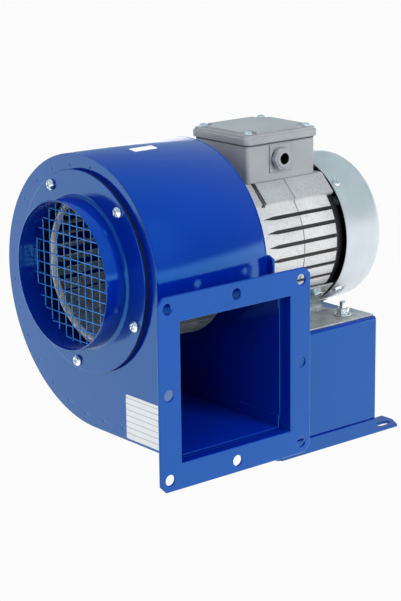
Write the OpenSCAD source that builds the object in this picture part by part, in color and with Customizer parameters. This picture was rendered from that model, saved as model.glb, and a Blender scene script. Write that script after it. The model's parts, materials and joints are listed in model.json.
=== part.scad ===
// Industrial centrifugal blower: a welded scroll with a square outlet flange, a round
// inlet spigot with a wire guard, a forward curved impeller on the motor's own shaft,
// a ribbed foot mounted motor with its terminal box and fan cowl, and a sheet pedestal.
// Millimetres, +Z up. The shaft runs along Y, the inlet is at -Y, the outlet is at +X.
// The origin is on the floor, under the middle of the whole blower's outline.

/* [Scroll housing] */
// Width of the scroll over its two side plates
scroll_w = 116; // [100:1:140]
// Thickness of the scroll's sheet steel
sheet_t = 1.5; // [1:0.1:2]
// Radius of the scroll's first quarter, from the outlet side to the top
volute_r = 99; // [92:1:110]
// Growth of the scroll's radius from each quarter to the next
volute_step = 11; // [7:0.5:14]
// Distance of the first arc's centre to the left of the shaft
volute_left = 4; // [0:0.5:8]
// Distance of the first arc's centre below the shaft
volute_drop = 2; // [0:0.5:6]
// Height of the outlet duct
duct_h = 116; // [100:1:120]
// Bend radius of the cutoff tongue above the outlet
tongue_r = 8; // [4:0.5:10]
// Width of the weld flanges along the wrapper's two edges
weld_w = 12; // [8:0.5:14]

/* [Outlet flange] */
// Distance from the shaft to the outlet flange's face
outlet_x = 123; // [118:1:140]
// Outer width and height of the outlet flange
flange_w = 160; // [150:1:180]
// Thickness of the flange angle
flange_t = 2; // [2:0.1:4]
// Depth of the flange angle's inner leg, with the face
flange_leg = 19; // [15:0.5:20]
// Distance from the flange face back to the end of the duct
duct_set = 12; // [6:0.5:13]
// Spacing of the outlet flange's corner holes, both ways
flange_pitch = 140; // [134:1:146]
// Diameter of the outlet flange's eight holes
flange_hole_d = 9; // [6:0.5:10]
// Cut across each outer corner of the flange
flange_cut = 6; // [2:0.5:9]

/* [Inlet] */
// Outer diameter of the inlet spigot
spigot_d = 125; // [118:1:130]
// Wall of the inlet spigot
spigot_t = 1.2; // [0.8:0.1:2]
// Length of the spigot in front of its ring
spigot_len = 20.5; // [14:0.5:40]
// Width of the inlet ring outside its screw circle
ring_edge = 7; // [6:0.5:12]
// Thickness of the inlet ring
ring_t = 1.5; // [1:0.1:3]
// Thickness of the foam gasket behind the ring
gasket_t = 3; // [2:0.1:4]
// Distance of the ring's screws outside the front plate's hole
ring_screw_in = 6; // [5.5:0.5:8]
// Number of ring screws
ring_screw_n = 5; // [3:1:8]
// Angle of the first ring screw, from the outlet side upwards
ring_screw_turn = 48; // [0:1:71]
// Wire diameter of the inlet guard
guard_wire = 1.4; // [1:0.1:2]
// Spacing of the guard's wires
guard_pitch = 9.7; // [8:0.1:14]
// Distance from the ring's face forward to the guard
guard_set = 2.8; // [1:0.1:8]

/* [Impeller] */
// Outer diameter of the impeller
impeller_d = 138; // [134:1:138]
// Distance from the impeller's back plate to the scroll's rear face
impeller_back = 21; // [15:0.5:29]
// Distance from the front plate's outer face back to the impeller
impeller_set = 13; // [10:0.5:16]
// Width of the impeller's front ring, from its rim in to the eye
front_ring_w = 8; // [7:0.5:9]
// Number of impeller blades
blade_n = 36; // [24:1:40]
// Thickness of a blade
blade_t = 0.8; // [0.6:0.1:1.2]
// Radius of a blade's curve
blade_curve = 10.6; // [10.6:0.1:14]
// Diameter of the hub's barrel
hub_d = 30; // [26:1:40]

/* [Motor] */
// Height of the shaft above the top of the motor's flat feet
motor_h = 71; // [70:0.5:80]
// Thickness of the motor's galvanised sheet feet
feet_t = 1.5; // [1:0.1:2]
// Inner radius of the fold between a foot's flat and its slanted wall
feet_fold = 5; // [3:0.5:7]
// Distance of the foot bolts from each end of the motor body
foot_bolt_end = 10; // [8:0.5:16]
// Diameter of the ribbed motor body over its ribs
motor_d = 127; // [124:1:130]
// Length of the ribbed motor body
motor_len = 90; // [88:1:96]
// Distance from the scroll's rear plate to the ribbed body
motor_set = 19; // [17:0.5:22]
// Number of rib faces round the body
rib_n = 32; // [28:4:36]
// Width of a groove between two ribs
groove_w = 3.2; // [2:0.1:4]
// Depth of a groove
groove_depth = 2.4; // [2:0.1:4]
// Diameter of the shaft's end that carries the impeller
shaft_d = 14; // [12:0.5:14]
// Diameter of the rotor core
rotor_d = 69.2; // [66:0.1:69.2]
// Air gap between the rotor and the stator
air_gap = 0.4; // [0.3:0.1:0.8]
// Length of the rotor and stator cores
core_len = 54; // [44:1:56]
// Outer diameter of the stator core
core_d = 104; // [100:1:106]

/* [Terminal box] */
// Width of the terminal box across the motor
box_x = 71; // [66:1:74]
// Length of the terminal box along the motor
box_y = 78.5; // [74:0.5:80]
// Height of the terminal box without its lid
box_h = 32; // [30:1:40]
// Wall of the terminal box
box_wall = 3; // [2:0.1:3.5]
// Height of the lid's rim
lid_h = 8; // [6:0.5:10]
// Overhang of the lid beyond the box
lid_over = 2.5; // [1:0.1:3]
// Distance from the ribbed body's front end to the box
box_set = 11; // [10:0.5:11]
// Width of the cable gland's hexagon over its flats
gland_af = 18; // [16:0.5:22]
// Diameter of the cable gland's cable hole
gland_hole_d = 9.6; // [6:0.2:10]

/* [Fan cowl] */
// Outer diameter of the fan cowl
cowl_d = 134; // [132:0.5:136]
// Length of the fan cowl
cowl_len = 59; // [58:1:66]
// Round of the fan cowl's closed end
cowl_round = 25; // [20:1:30]
// Sheet of the fan cowl
cowl_t = 1; // [0.8:0.1:1.2]
// Distance from the ribbed body's rear end to the cowl's open edge
cowl_set = 8.5; // [7:0.5:9]
// Number of air slots in the cowl's end
slot_n = 20; // [12:1:24]
// Number of blades on the cooling fan
fan_blade_n = 7; // [5:1:9]

/* [Pedestal] */
// Height of the shaft above the floor
shaft_h = 182; // [178:1:200]
// Outer width of the pedestal
pedestal_w = 145; // [144:1:150]
// Distance from the scroll's rear plate to the pedestal's rear wall's outer face
pedestal_len = 149; // [148:1:156]
// Thickness of the pedestal's sheet
pedestal_t = 2; // [1.5:0.1:2.5]
// Bend radius along the pedestal's top edges
pedestal_bend = 3; // [2.6:0.1:5]
// Length of a foot rail
foot_len = 152; // [150:1:160]
// Distance from the scroll's rear plate back to the foot rails' front end
foot_set = 31; // [28:0.5:33]
// Thickness of a foot rail
foot_t = 2.5; // [2:0.1:3]
// Width of a foot rail's flat leg
foot_w = 27; // [25:0.5:34]
// Height of a foot rail's upright leg, from the floor
foot_h = 14; // [10:0.5:20]
// Width of a foot slot
foot_slot_w = 7; // [6:0.5:8]
// Length of a foot slot from end to end
foot_slot_len = 16; // [12:0.5:18]
// Distance from a foot slot's outer end to the rail's end
foot_slot_end = 8; // [6:0.5:9]
// Thickness of the support plate behind the scroll
support_t = 2.5; // [2:0.1:3]
// Width of the support plate
support_w = 202; // [196:1:206]
// Height of the support plate's top edge above the shaft
support_top = 11; // [4:0.5:14]

/* [Hidden] */
// Smoothness of round parts, large and small
fine = 96;
small = 32;
// Overrun of every cut past the face that it opens
cut = 1;
// Radial clearance of a bolt in its drilled hole, of a shaft in its seat, and of threads
bolt_gap = 0.3;
seat_gap = 0.02;
thread_gap = 0.05;
// Gap between a seal or insert and the part that holds it
rest_gap = 0.1;

// Scroll outline, from the shaft: right wall, duct floor and duct roof
wall_x = volute_r - volute_left;
duct_low = -volute_drop - volute_step - (volute_r + 2 * volute_step);
duct_top = duct_low + duct_h;
duct_mid = (duct_low + duct_top) / 2;
duct_end = outlet_x - duct_set;
// Inlet: the ring's rear and front faces, the spigot's rim and the guard
spigot_r = spigot_d / 2;
spigot_in = spigot_r - spigot_t;
ring_back = -gasket_t;
ring_face = -gasket_t - ring_t;
spigot_rim = ring_face - spigot_len;
guard_y = ring_face - guard_set - guard_wire;
// Fillet where the spigot leaves the ring
spigot_fillet = 3;
// The foam gasket: gap to the screw circle's holes and how far it stays in from the rim
gasket_in_gap = 4.5;
gasket_rim_gap = 1;
// The impeller passes through the front plate's hole with this much room
pass_gap = 3;
front_hole_r = impeller_d / 2 + pass_gap;

// Pan head screws of the ring: thread, head and length behind the head
m5_r = 2.5;
m5_head_r = 4.75;
// The ring's screws stand outside the front plate's hole and clear of the spigot's fillet
ring_screw_r = max(front_hole_r + ring_screw_in, spigot_r + spigot_fillet + m5_head_r + rest_gap);
ring_r = ring_screw_r + ring_edge;
m5_head_h = 3.4;
ring_screw_len = 12;
// Hexagon nuts and bolt heads, over the flats, and their heights
m5_af = 8;
m5_nut_h = 4;
m6_r = 3;
m6_af = 10;
m6_nut_h = 5;
m6_head_h = 4;
m4_r = 2;
m4_head_r = 4;
m4_head_h = 2.8;
// Pan head shape: flat top radius and straight side height, as shares of the head
pan_top_share = 0.62;
pan_side_share = 0.45;
// Cross recess: width, length and depth as shares of the head
cross_w_share = 0.26;
cross_len_share = 1.25;
cross_depth_share = 0.6;
// A hexagon's corner radius from half its width over the flats
hex_share = 1 / cos(30);

// Impeller: front ring, back plate, blade ends and hub along the shaft
impeller_r = impeller_d / 2;
eye_r = impeller_r - front_ring_w;
disc_t = 1.2;
front_ring_t = 1;
eye_lip = 5;
blade_inset = 0.5;
blade_overlap = 2.5;
blade_in_r = eye_r - blade_overlap;
blade_out_r = impeller_r - blade_inset;
impeller_end = scroll_w - impeller_back;
disc_y = impeller_end - disc_t;
blade_y = impeller_set + front_ring_t;
hub_r = hub_d / 2;
hub_flange_r = 26;
hub_flange_t = 3;
hub_len = 20;
hub_y = disc_y - hub_len;
hub_rivet_n = 6;
hub_rivet_pcd_r = 20.5;
hub_rivet_r = 2;
hub_rivet_head_r = 3.4;
hub_rivet_head_h = 1.4;
// The shaft ends this far inside the hub, so that the end bolt clamps the hub
shaft_end_gap = 2;
shaft_y = hub_y + shaft_end_gap;
hub_washer_r = 10;
hub_washer_t = 2;
hub_bolt_len = 16;
hub_bolt_head_h = 3.5;
// Key in the shaft and hub
key_w = 5;
key_len = 14;
key_sink = 3;
key_slack = 0.05;
key_end = 2;

// Motor, along the shaft from the front plate's outer face
motor_r = motor_d / 2;
motor_y = scroll_w + motor_set;
motor_end = motor_y + motor_len;
core_y = motor_y + (motor_len - core_len) / 2;
core_end = core_y + core_len;
rotor_r = rotor_d / 2;
bore_r = rotor_r + air_gap;
core_r = core_d / 2;
shaft_r = shaft_d / 2;
bearing_seat_r = 7.5;
core_seat_r = 9;
fan_seat_r = 6.5;
// Bearings: outer radius, width, groove, balls and shoulders
bearing_r = 17.5;
bearing_w = 11;
bearing_pitch_r = 12.5;
ball_r = 2.9;
ball_n = 8;
ball_gap = 0.15;
inner_race_r = 10.4;
outer_race_in = 14.6;
cage_t = 1.2;
cage_w = 5;
front_bearing_y = scroll_w + 6;
rear_bearing_y = motor_end + 3;
// Front end shield: shaft hole, bearing hub, face, spigot and rim
shield_shaft_gap = 1;
shield_hub_t = 4.5;
face_r = 62;
face_t = 8;
face_spigot_r = 35;
face_spigot_in = 30;
face_spigot_len = 2.5;
face_bolt_pcd_r = 42.5;
face_bolt_n = 4;
face_bolt_turn = 45;
rim_t = 3;
rim_len = 4;
// Motor body bore, which holds the stator core, and the seats of the two shields' rims
frame_bore_r = core_r + seat_gap;
rim_seat_r = core_r + rim_t;
// Rear end shield: its visible band, web and lugs for the cowl's screws
rear_band_in = 3;
rear_band_r = motor_r - rear_band_in;
rear_band_len = 9;
rear_band_end = motor_end + rear_band_len;
lug_r = cowl_d / 2 - cowl_t - rest_gap;
lug_w = 12;
lug_t = 6;
lug_end = 14;
tie_bolt_pcd_r = 57.5;
tie_bolt_n = 4;
tie_bolt_turn = 33.75;
tie_bolt_tail = 12;
// Seam where the front grooves meet the rear grooves, and the front grooves' points
seam_share = 0.58;
groove_tip = 11;
groove_taper = 12;
seam_y = motor_y + motor_len * seam_share;
// Grooves run on both sides between these angles from the horizontal
groove_high = 30;
groove_low = -52;
// Flat name plate faces beside the terminal box, and the box's seat
seat_top = 57.5;
seat_x = 36;
pad_out = 51;
pad_low = 42;
pad_in = 41;
pad_foot = 31;
pad_set = 6;
pad_over = 7;
// The slot across each flat face, from the pad's front end, and the seam's fine groove
slot_set = 8.5;
slot_gap = 4.5;
seam_w = 0.6;
seam_depth = 1;
// Sheet feet: the slanted wall lies on a cast pad, turned this far below the horizontal
feet_turn = 45;
feet_rise = 7;
feet_pad_half = 6;
feet_pad_sink = 9;
feet_set = 4;
feet_over = 7.5;
foot_tap = 8;
foot_washer_r = 6.5;
foot_washer_t = 1.2;
// Rotor end rings and stator winding heads
end_ring_t = 6;
end_ring_in = 22;
winding_len = 12;
winding_gap = 2;
winding_set = 4;
winding_in = bore_r + winding_gap;
winding_out = core_r - winding_set;
stator_slot_n = 24;
stator_slot_w = 3.4;
stator_slot_len = 9;
tooth_tip = 1.2;
slot_liner = 0.2;

// Fan cowl: open edge, closed end, fan and clip along the shaft
cowl_y = motor_end + cowl_set;
cowl_end = cowl_y + cowl_len;
cowl_r = cowl_d / 2;
cowl_screw_set = 5.5;
cowl_screw_y = cowl_y + cowl_screw_set;
cowl_screw_n = 4;
cowl_screw_turn = 46;
cowl_screw_len = 7;
slot_w = 3;
// The dome bulges more than an ellipse, by this power of the cosine and sine
dome_power = 0.87;
dome_steps = 18;
slot_in = 14;
slot_out = 38;
fan_set = 22;
fan_y = cowl_y + fan_set;
fan_disc_t = 2.5;
fan_r = 52;
fan_hub_r = 12;
fan_len = 16;
fan_blade_t = 2;
clip_t = 1;
clip_w = 3;
shaft_tail = 2;
shaft_back = fan_y + fan_len + shaft_tail;

// Terminal box, from the motor body's seat
box_y0 = motor_y + box_set;
box_y1 = box_y0 + box_y;
box_mid = (box_y0 + box_y1) / 2;
box_top = seat_top + box_h;
box_round = 4;
box_gasket_t = 1.5;
lid_y = box_top + box_gasket_t;
lid_top = lid_y + lid_h;
lid_sheet = 2.5;
lid_step = 2;
lid_step_in = 1.6;
plateau_in = 10;
plateau_h = 2;
corner_boss_r = 5;
corner_boss_in = 6;
lid_screw_len = 20;
box_floor = 3;
box_screw_x = 22;
box_screw_y = 24;
box_screw_len = 8;
wire_hole_r = 6.5;
wire_y = core_end + winding_len / 2;
panel_t = 0.8;
panel_w = 25;
panel_h = 24;
gland_x = box_x / 2 + panel_t;
gland_shift = 3.6;
gland_rise = 19;
panel_shift = 1.8;
gland_y = box_mid - gland_shift;
gland_z = seat_top + gland_rise;
panel_y = box_mid - panel_shift;
gland_thread_r = 7.5;
gland_flange_t = 5;
gland_cap_r = 7.8;
gland_cap_t = 1;
gland_tail = 5;
gland_nut_t = 4;
gland_seal_t = 1;
block_x = 32;
block_y = 44;
block_h = 9;
block_foot = 4;
stud_n = 3;
stud_pitch = 13;
stud_row = 7;
terminal_r = 2;
terminal_len = 6;

// Pedestal, from the shaft
floor_z = -shaft_h;
plate_z = -motor_h - feet_t;
pedestal_rear = scroll_w + pedestal_len;
support_y = scroll_w;
pedestal_y = scroll_w + support_t;
pedestal_x = pedestal_w / 2;
foot_rear = scroll_w + foot_set + foot_len;
foot_front = scroll_w + foot_set;
foot_x = pedestal_x + pedestal_t;
foot_cut_y = 7;
foot_cut_front = 3;
foot_cut_rear = 13;
foot_slot_inset = 10;
foot_slot_x = foot_x - foot_slot_inset;
foot_slot_half = foot_len / 2 - foot_slot_end - foot_slot_len / 2;
foot_mid = (foot_front + foot_rear) / 2;
// The cheeks' lower front edge runs up from here to the support plate
cheek_toe = 34;
cheek_nose_h = 46;
top_end = 20;
plate_in = 3;
plate_end = 0.5;
plate_stud_in = 19;
plate_stud_x = pedestal_x - plate_stud_in;
feet_x = pedestal_x - plate_in;
// The window in the pedestal's top stays this far inside the studs
stud_edge = 7;
plate_stud_rear = 23;
plate_stud_front = 10.5;
stud_len = 22;
stud_tail = 8;
washer_r = 8;
washer_t = 1.5;
// Support plate: cut for the motor's face, and its lower edge
support_gap = 3;
support_cut_r = face_r + support_gap;
support_cut_x = 5.5;
support_cut_z = 2.5;
support_low = duct_low + sheet_t;
face_bolt_len = 13;

// The shaft and the front plate's outer face lie this far from the origin
frame_x = (volute_r + volute_step + volute_left - outlet_x) / 2;
frame_y = -(spigot_rim + foot_rear) / 2;

// Labels: a blank rating label on the front plate and a blank sticker on the scroll
label_t = 0.2;
label_x = 51;
label_z = -94;
label_w = 50;
label_h = 38;
sticker_w = 9;
sticker_len = 24;
sticker_y = 44;
sticker_turn = 83;

// Frames: coordinates from here on are taken from the shaft and the front plate's face
module placed() {
    translate([frame_x, frame_y, shaft_h]) children();
}

// A flat shape drawn in x and z, made t thick from y0 backwards
module slab(y0, t) {
    placed() translate([0, y0 + t, 0]) rotate([90, 0, 0]) linear_extrude(t) children();
}

// A flat shape drawn in y and z, made t thick from x0 outwards
module sheet_x(x0, t) {
    placed() translate([x0, 0, 0]) rotate([90, 0, 90]) linear_extrude(t) children();
}

// A flat shape drawn in x and y, made t thick from z0 upwards
module sheet_z(z0, t) {
    placed() translate([0, 0, z0]) linear_extrude(t) children();
}

// A turned part, drawn in radius and y
module spun() {
    placed() rotate([-90, 0, 0]) rotate_extrude($fn = fine) children();
}

// One rectangle of a turned part's profile
module band(r0, r1, y0, y1) {
    translate([r0, y0]) square([r1 - r0, y1 - y0]);
}

// Copies round the shaft, the first one turned up from the outlet side
module ring_of(n, r, turn = 0) {
    for (i = [0 : n - 1]) rotate([0, -turn - i * 360 / n, 0]) translate([r, 0, 0]) children();
}

// Copies at four corners of a rectangle in x and z
module flat_ring_of(n, r, turn = 0) {
    for (i = [0 : n - 1]) rotate(turn + i * 360 / n) translate([r, 0]) children();
}

// A round rod along y
module rod_y(r, y0, y1) {
    translate([0, y0, 0]) rotate([-90, 0, 0]) cylinder(r = r, h = y1 - y0, $fn = small);
}

// A hexagon along y
module hex_y(af, y0, y1) {
    translate([0, y0, 0]) rotate([-90, 0, 0]) cylinder(r = af / 2 * hex_share, h = y1 - y0, $fn = 6);
}

// A pan head screw along z, with its head above zero
module pan_screw(r, head_r, head_h, len) {
    difference() {
        union() {
            rotate_extrude($fn = small) polygon([
                [0, 0], [head_r, 0], [head_r, head_h * pan_side_share],
                [head_r * pan_top_share, head_h], [0, head_h]
            ]);
            translate([0, 0, -len]) cylinder(r = r, h = len, $fn = small);
        }
        for (a = [0, 90]) rotate(a) translate([0, 0, head_h])
            cube([head_r * cross_len_share, head_r * cross_w_share,
                2 * head_h * cross_depth_share], center = true);
    }
}

// A hexagon head bolt along z, with its head above zero
module hex_bolt(r, af, head_h, len) {
    cylinder(r = af / 2 * hex_share, h = head_h, $fn = 6);
    translate([0, 0, -len]) cylinder(r = r, h = len, $fn = small);
}

// A quarter disc that opens towards sx and sz
module quarter(r, sx, sz) {
    intersection() {
        circle(r = r, $fn = fine);
        translate([sx > 0 ? 0 : -r, sz > 0 ? 0 : -r]) square(r);
    }
}

// The scroll's outline, drawn in by off, its duct reaching end_x
module scroll_2d(off = 0, end_x = duct_end) {
    mid_x = volute_step - volute_left;
    mid_z = -volute_drop - volute_step;
    translate([-volute_left, -volute_drop]) quarter(volute_r - off, 1, 1);
    translate([-volute_left, mid_z]) quarter(volute_r + volute_step - off, -1, 1);
    translate([mid_x, mid_z]) quarter(volute_r + 2 * volute_step - off, -1, -1);
    translate([-volute_left, mid_z]) square([wall_x - off + volute_left, -volute_drop - mid_z]);
    translate([mid_x, duct_low + off]) square([wall_x - off - mid_x, mid_z - duct_low - off]);
    translate([mid_x, duct_low + off]) square([end_x - mid_x, duct_h - 2 * off]);
    difference() {
        translate([wall_x - off, duct_top - off]) square(tongue_r + off);
        translate([wall_x + tongue_r, duct_top + tongue_r]) circle(r = tongue_r + off, $fn = fine);
    }
}

// Scroll housing
module front_plate() {
    color("#1c55b0") slab(0, sheet_t) difference() {
        scroll_2d();
        circle(r = front_hole_r, $fn = fine);
        flat_ring_of(ring_screw_n, ring_screw_r, ring_screw_turn) circle(r = m5_r + bolt_gap, $fn = small);
    }
}

module rear_plate() {
    color("#1a4fa8") slab(scroll_w - sheet_t, sheet_t) difference() {
        scroll_2d();
        circle(r = face_spigot_r + seat_gap, $fn = fine);
        flat_ring_of(face_bolt_n, face_bolt_pcd_r, face_bolt_turn) circle(r = m6_r + bolt_gap, $fn = small);
    }
}

module scroll_wrapper() {
    color("#1f5dbd") {
        slab(sheet_t, scroll_w - 2 * sheet_t) difference() {
            scroll_2d();
            scroll_2d(sheet_t, duct_end + cut);
        }
        for (y = [sheet_t, scroll_w - 2 * sheet_t]) slab(y, sheet_t) difference() {
            scroll_2d();
            scroll_2d(weld_w, duct_end + cut);
        }
    }
}

module outlet_flange() {
    hole = flange_pitch / 2;
    color("#2a66b8") difference() {
        union() {
            sheet_x(outlet_x - flange_t, flange_t) flange_face();
            sheet_x(outlet_x - flange_leg, flange_leg) translate([scroll_w / 2, duct_mid])
                square([scroll_w + 2 * flange_t, duct_h + 2 * flange_t], center = true);
        }
        sheet_x(outlet_x - flange_leg - cut, flange_leg + 2 * cut) translate([scroll_w / 2, duct_mid])
            square([scroll_w, duct_h], center = true);
        sheet_x(outlet_x - flange_t - cut, flange_t + 2 * cut) translate([scroll_w / 2, duct_mid])
            for (i = [-1 : 1], j = [-1 : 1]) if (i != 0 || j != 0)
                translate([i * hole, j * hole]) circle(r = flange_hole_d / 2, $fn = small);
    }
}

// The flange's face: a square with its corners cut
module flange_face() {
    h = flange_w / 2;
    c = h - flange_cut;
    translate([scroll_w / 2, duct_mid]) polygon([
        [-h, -c], [-c, -h], [c, -h], [h, -c], [h, c], [c, h], [-c, h], [-h, c]
    ]);
}

// Inlet: a flat ring and the spigot welded on it
module inlet_ring() {
    color("#2360bf") difference() {
        spun() band(spigot_in, ring_r, ring_face, ring_back);
        slab(ring_face - cut, ring_t + 2 * cut)
            flat_ring_of(ring_screw_n, ring_screw_r, ring_screw_turn) circle(r = m5_r + bolt_gap, $fn = small);
    }
}

module inlet_spigot() {
    color("#2461c2") spun() {
        band(spigot_in, spigot_r, spigot_rim, ring_face);
        difference() {
            band(spigot_r, spigot_r + spigot_fillet, ring_face - spigot_fillet, ring_face);
            translate([spigot_r + spigot_fillet, ring_face - spigot_fillet])
                circle(r = spigot_fillet, $fn = small);
        }
    }
}

module inlet_gasket() {
    color("#15171a") slab(ring_back, gasket_t) difference() {
        circle(r = ring_r - gasket_rim_gap, $fn = fine);
        circle(r = ring_screw_r - gasket_in_gap, $fn = fine);
        flat_ring_of(ring_screw_n, ring_screw_r, ring_screw_turn) circle(r = m5_r + bolt_gap, $fn = small);
    }
}

module inlet_guard() {
    n = floor(spigot_in / guard_pitch);
    color("#2b62c4") slab(guard_y, guard_wire) intersection() {
        circle(r = spigot_in - seat_gap, $fn = fine);
        for (i = [-n : n]) {
            translate([i * guard_pitch, 0]) square([guard_wire, 2 * spigot_r], center = true);
            translate([0, i * guard_pitch]) square([2 * spigot_r, guard_wire], center = true);
        }
    }
}

module ring_screws() {
    color("#dfe3e6") placed() ring_of(ring_screw_n, ring_screw_r, ring_screw_turn)
        translate([0, ring_face, 0]) rotate([90, 0, 0])
            pan_screw(m5_r, m5_head_r, m5_head_h, ring_screw_len);
}

module ring_nuts() {
    color("#b8bcbf") placed() ring_of(ring_screw_n, ring_screw_r, ring_screw_turn) difference() {
        hex_y(m5_af, sheet_t, sheet_t + m5_nut_h);
        rod_y(m5_r + thread_gap, sheet_t - cut, sheet_t + m5_nut_h + cut);
    }
}

// Impeller
module impeller_blades() {
    color("#c3c7c9") slab(blade_y, disc_y - blade_y) flat_ring_of(blade_n, 0) intersection() {
        difference() {
            circle(r = blade_out_r, $fn = fine);
            circle(r = blade_in_r, $fn = fine);
        }
        translate([blade_in_r, blade_curve]) difference() {
            circle(r = blade_curve, $fn = fine);
            circle(r = blade_curve - blade_t, $fn = fine);
        }
        translate([blade_in_r - cut, 0]) square([blade_curve + cut, blade_curve]);
    }
}

module impeller_front_ring() {
    color("#ccd0d2") spun() {
        band(eye_r, impeller_r, impeller_set, blade_y);
        band(eye_r, eye_r + front_ring_t, impeller_set - eye_lip, blade_y);
    }
}

module impeller_back_plate() {
    color("#bcc0c2") difference() {
        spun() band(shaft_r + bolt_gap, impeller_r, disc_y, impeller_end);
        slab(disc_y - cut, disc_t + 2 * cut)
            flat_ring_of(hub_rivet_n, hub_rivet_pcd_r) circle(r = hub_rivet_r + thread_gap, $fn = small);
    }
}

module impeller_hub() {
    color("#9fa3a6") difference() {
        spun() {
            band(shaft_r + seat_gap, hub_r, hub_y, disc_y);
            band(shaft_r + seat_gap, hub_flange_r, disc_y - hub_flange_t, disc_y);
        }
        placed() translate([-key_w / 2 - key_slack, hub_y - cut, 0])
            cube([key_w + 2 * key_slack, hub_len + 2 * cut, shaft_r + key_w - key_sink + bolt_gap]);
        slab(disc_y - hub_flange_t - cut, hub_flange_t + 2 * cut)
            flat_ring_of(hub_rivet_n, hub_rivet_pcd_r) circle(r = hub_rivet_r + thread_gap, $fn = small);
    }
}

module hub_rivets() {
    color("#d2d5d6") placed() ring_of(hub_rivet_n, hub_rivet_pcd_r) {
        rod_y(hub_rivet_r, disc_y - hub_flange_t, impeller_end);
        rod_y(hub_rivet_head_r, disc_y - hub_flange_t - hub_rivet_head_h, disc_y - hub_flange_t);
        rod_y(hub_rivet_head_r, impeller_end, impeller_end + hub_rivet_head_h);
    }
}

module hub_washer() {
    color("#c9cccd") spun() band(m5_r + bolt_gap, hub_washer_r, hub_y - hub_washer_t, hub_y);
}

module hub_bolt() {
    color("#d8dbdc") placed() {
        hex_y(m5_af, hub_y - hub_washer_t - hub_bolt_head_h, hub_y - hub_washer_t);
        rod_y(m5_r, hub_y - hub_washer_t, hub_y - hub_washer_t + hub_bolt_len);
    }
}

// Shaft, rotor and bearings
module shaft_key() {
    color("#8d9194") placed() translate([-key_w / 2, hub_y + hub_len - key_end - key_len, shaft_r - key_sink])
        cube([key_w, key_len, key_w]);
}

module motor_shaft() {
    core_from = core_y - end_ring_t;
    core_to = core_end + end_ring_t;
    color("#b4b8bb") difference() {
        spun() {
            band(0, shaft_r, shaft_y, front_bearing_y);
            band(0, bearing_seat_r, front_bearing_y - shield_shaft_gap, core_from);
            band(0, core_seat_r, front_bearing_y + bearing_w, rear_bearing_y);
            band(0, bearing_seat_r, rear_bearing_y, rear_bearing_y + bearing_w);
            band(0, fan_seat_r, rear_bearing_y + bearing_w, shaft_back);
        }
        placed() translate([-key_w / 2 - key_slack, hub_y + hub_len - key_end - key_len - key_slack,
            shaft_r - key_sink - key_slack]) cube([key_w + 2 * key_slack, key_len + 2 * key_slack, key_w]);
        placed() rod_y(m5_r + thread_gap, shaft_y - cut, shaft_y + hub_bolt_len);
    }
}

module rotor_core() {
    color("#7e8488") spun() {
        band(core_seat_r + seat_gap, rotor_r, core_y, core_end);
        band(end_ring_in, rotor_r, core_y - end_ring_t, core_y);
        band(end_ring_in, rotor_r, core_end, core_end + end_ring_t);
    }
}

module bearing_inner(y) {
    mid = y + bearing_w / 2;
    color("#c6cacc") spun() difference() {
        band(bearing_seat_r + seat_gap, inner_race_r, y, y + bearing_w);
        translate([bearing_pitch_r, mid]) circle(r = ball_r + ball_gap, $fn = small);
    }
}

module bearing_outer(y) {
    mid = y + bearing_w / 2;
    color("#b7bbbe") spun() difference() {
        band(outer_race_in, bearing_r, y, y + bearing_w);
        translate([bearing_pitch_r, mid]) circle(r = ball_r + ball_gap, $fn = small);
    }
}

module bearing_balls(y) {
    mid = y + bearing_w / 2;
    color("#d7dadb") {
        placed() ring_of(ball_n, bearing_pitch_r) translate([0, mid, 0]) sphere(r = ball_r, $fn = small);
        spun() band(bearing_pitch_r - cage_t / 2, bearing_pitch_r + cage_t / 2, mid - cage_w / 2, mid + cage_w / 2);
    }
}

module front_bearing_inner() { bearing_inner(front_bearing_y); }
module front_bearing_balls() { bearing_balls(front_bearing_y); }
module front_bearing_outer() { bearing_outer(front_bearing_y); }
module rear_bearing_inner() { bearing_inner(rear_bearing_y); }
module rear_bearing_balls() { bearing_balls(rear_bearing_y); }
module rear_bearing_outer() { bearing_outer(rear_bearing_y); }

// End shields
module front_end_shield() {
    hub_out = bearing_r + shield_hub_t;
    color("#aeb2b4") difference() {
        spun() {
            band(bearing_seat_r + shield_shaft_gap, hub_out, scroll_w, front_bearing_y);
            band(bearing_r + seat_gap, hub_out, scroll_w, front_bearing_y + bearing_w);
            band(hub_out, face_r, scroll_w, scroll_w + face_t);
            band(frame_bore_r, face_r, scroll_w, motor_y);
            band(face_spigot_in, face_spigot_r, scroll_w - face_spigot_len, scroll_w);
            band(frame_bore_r, rim_seat_r - seat_gap, motor_y, motor_y + rim_len);
        }
        slab(scroll_w - cut, face_t + 2 * cut)
            flat_ring_of(face_bolt_n, face_bolt_pcd_r, face_bolt_turn) circle(r = m6_r + thread_gap, $fn = small);
        slab(motor_y - tie_bolt_tail, tie_bolt_tail + rim_len + cut)
            flat_ring_of(tie_bolt_n, tie_bolt_pcd_r, tie_bolt_turn) circle(r = m5_r + thread_gap, $fn = small);
    }
}

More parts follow.
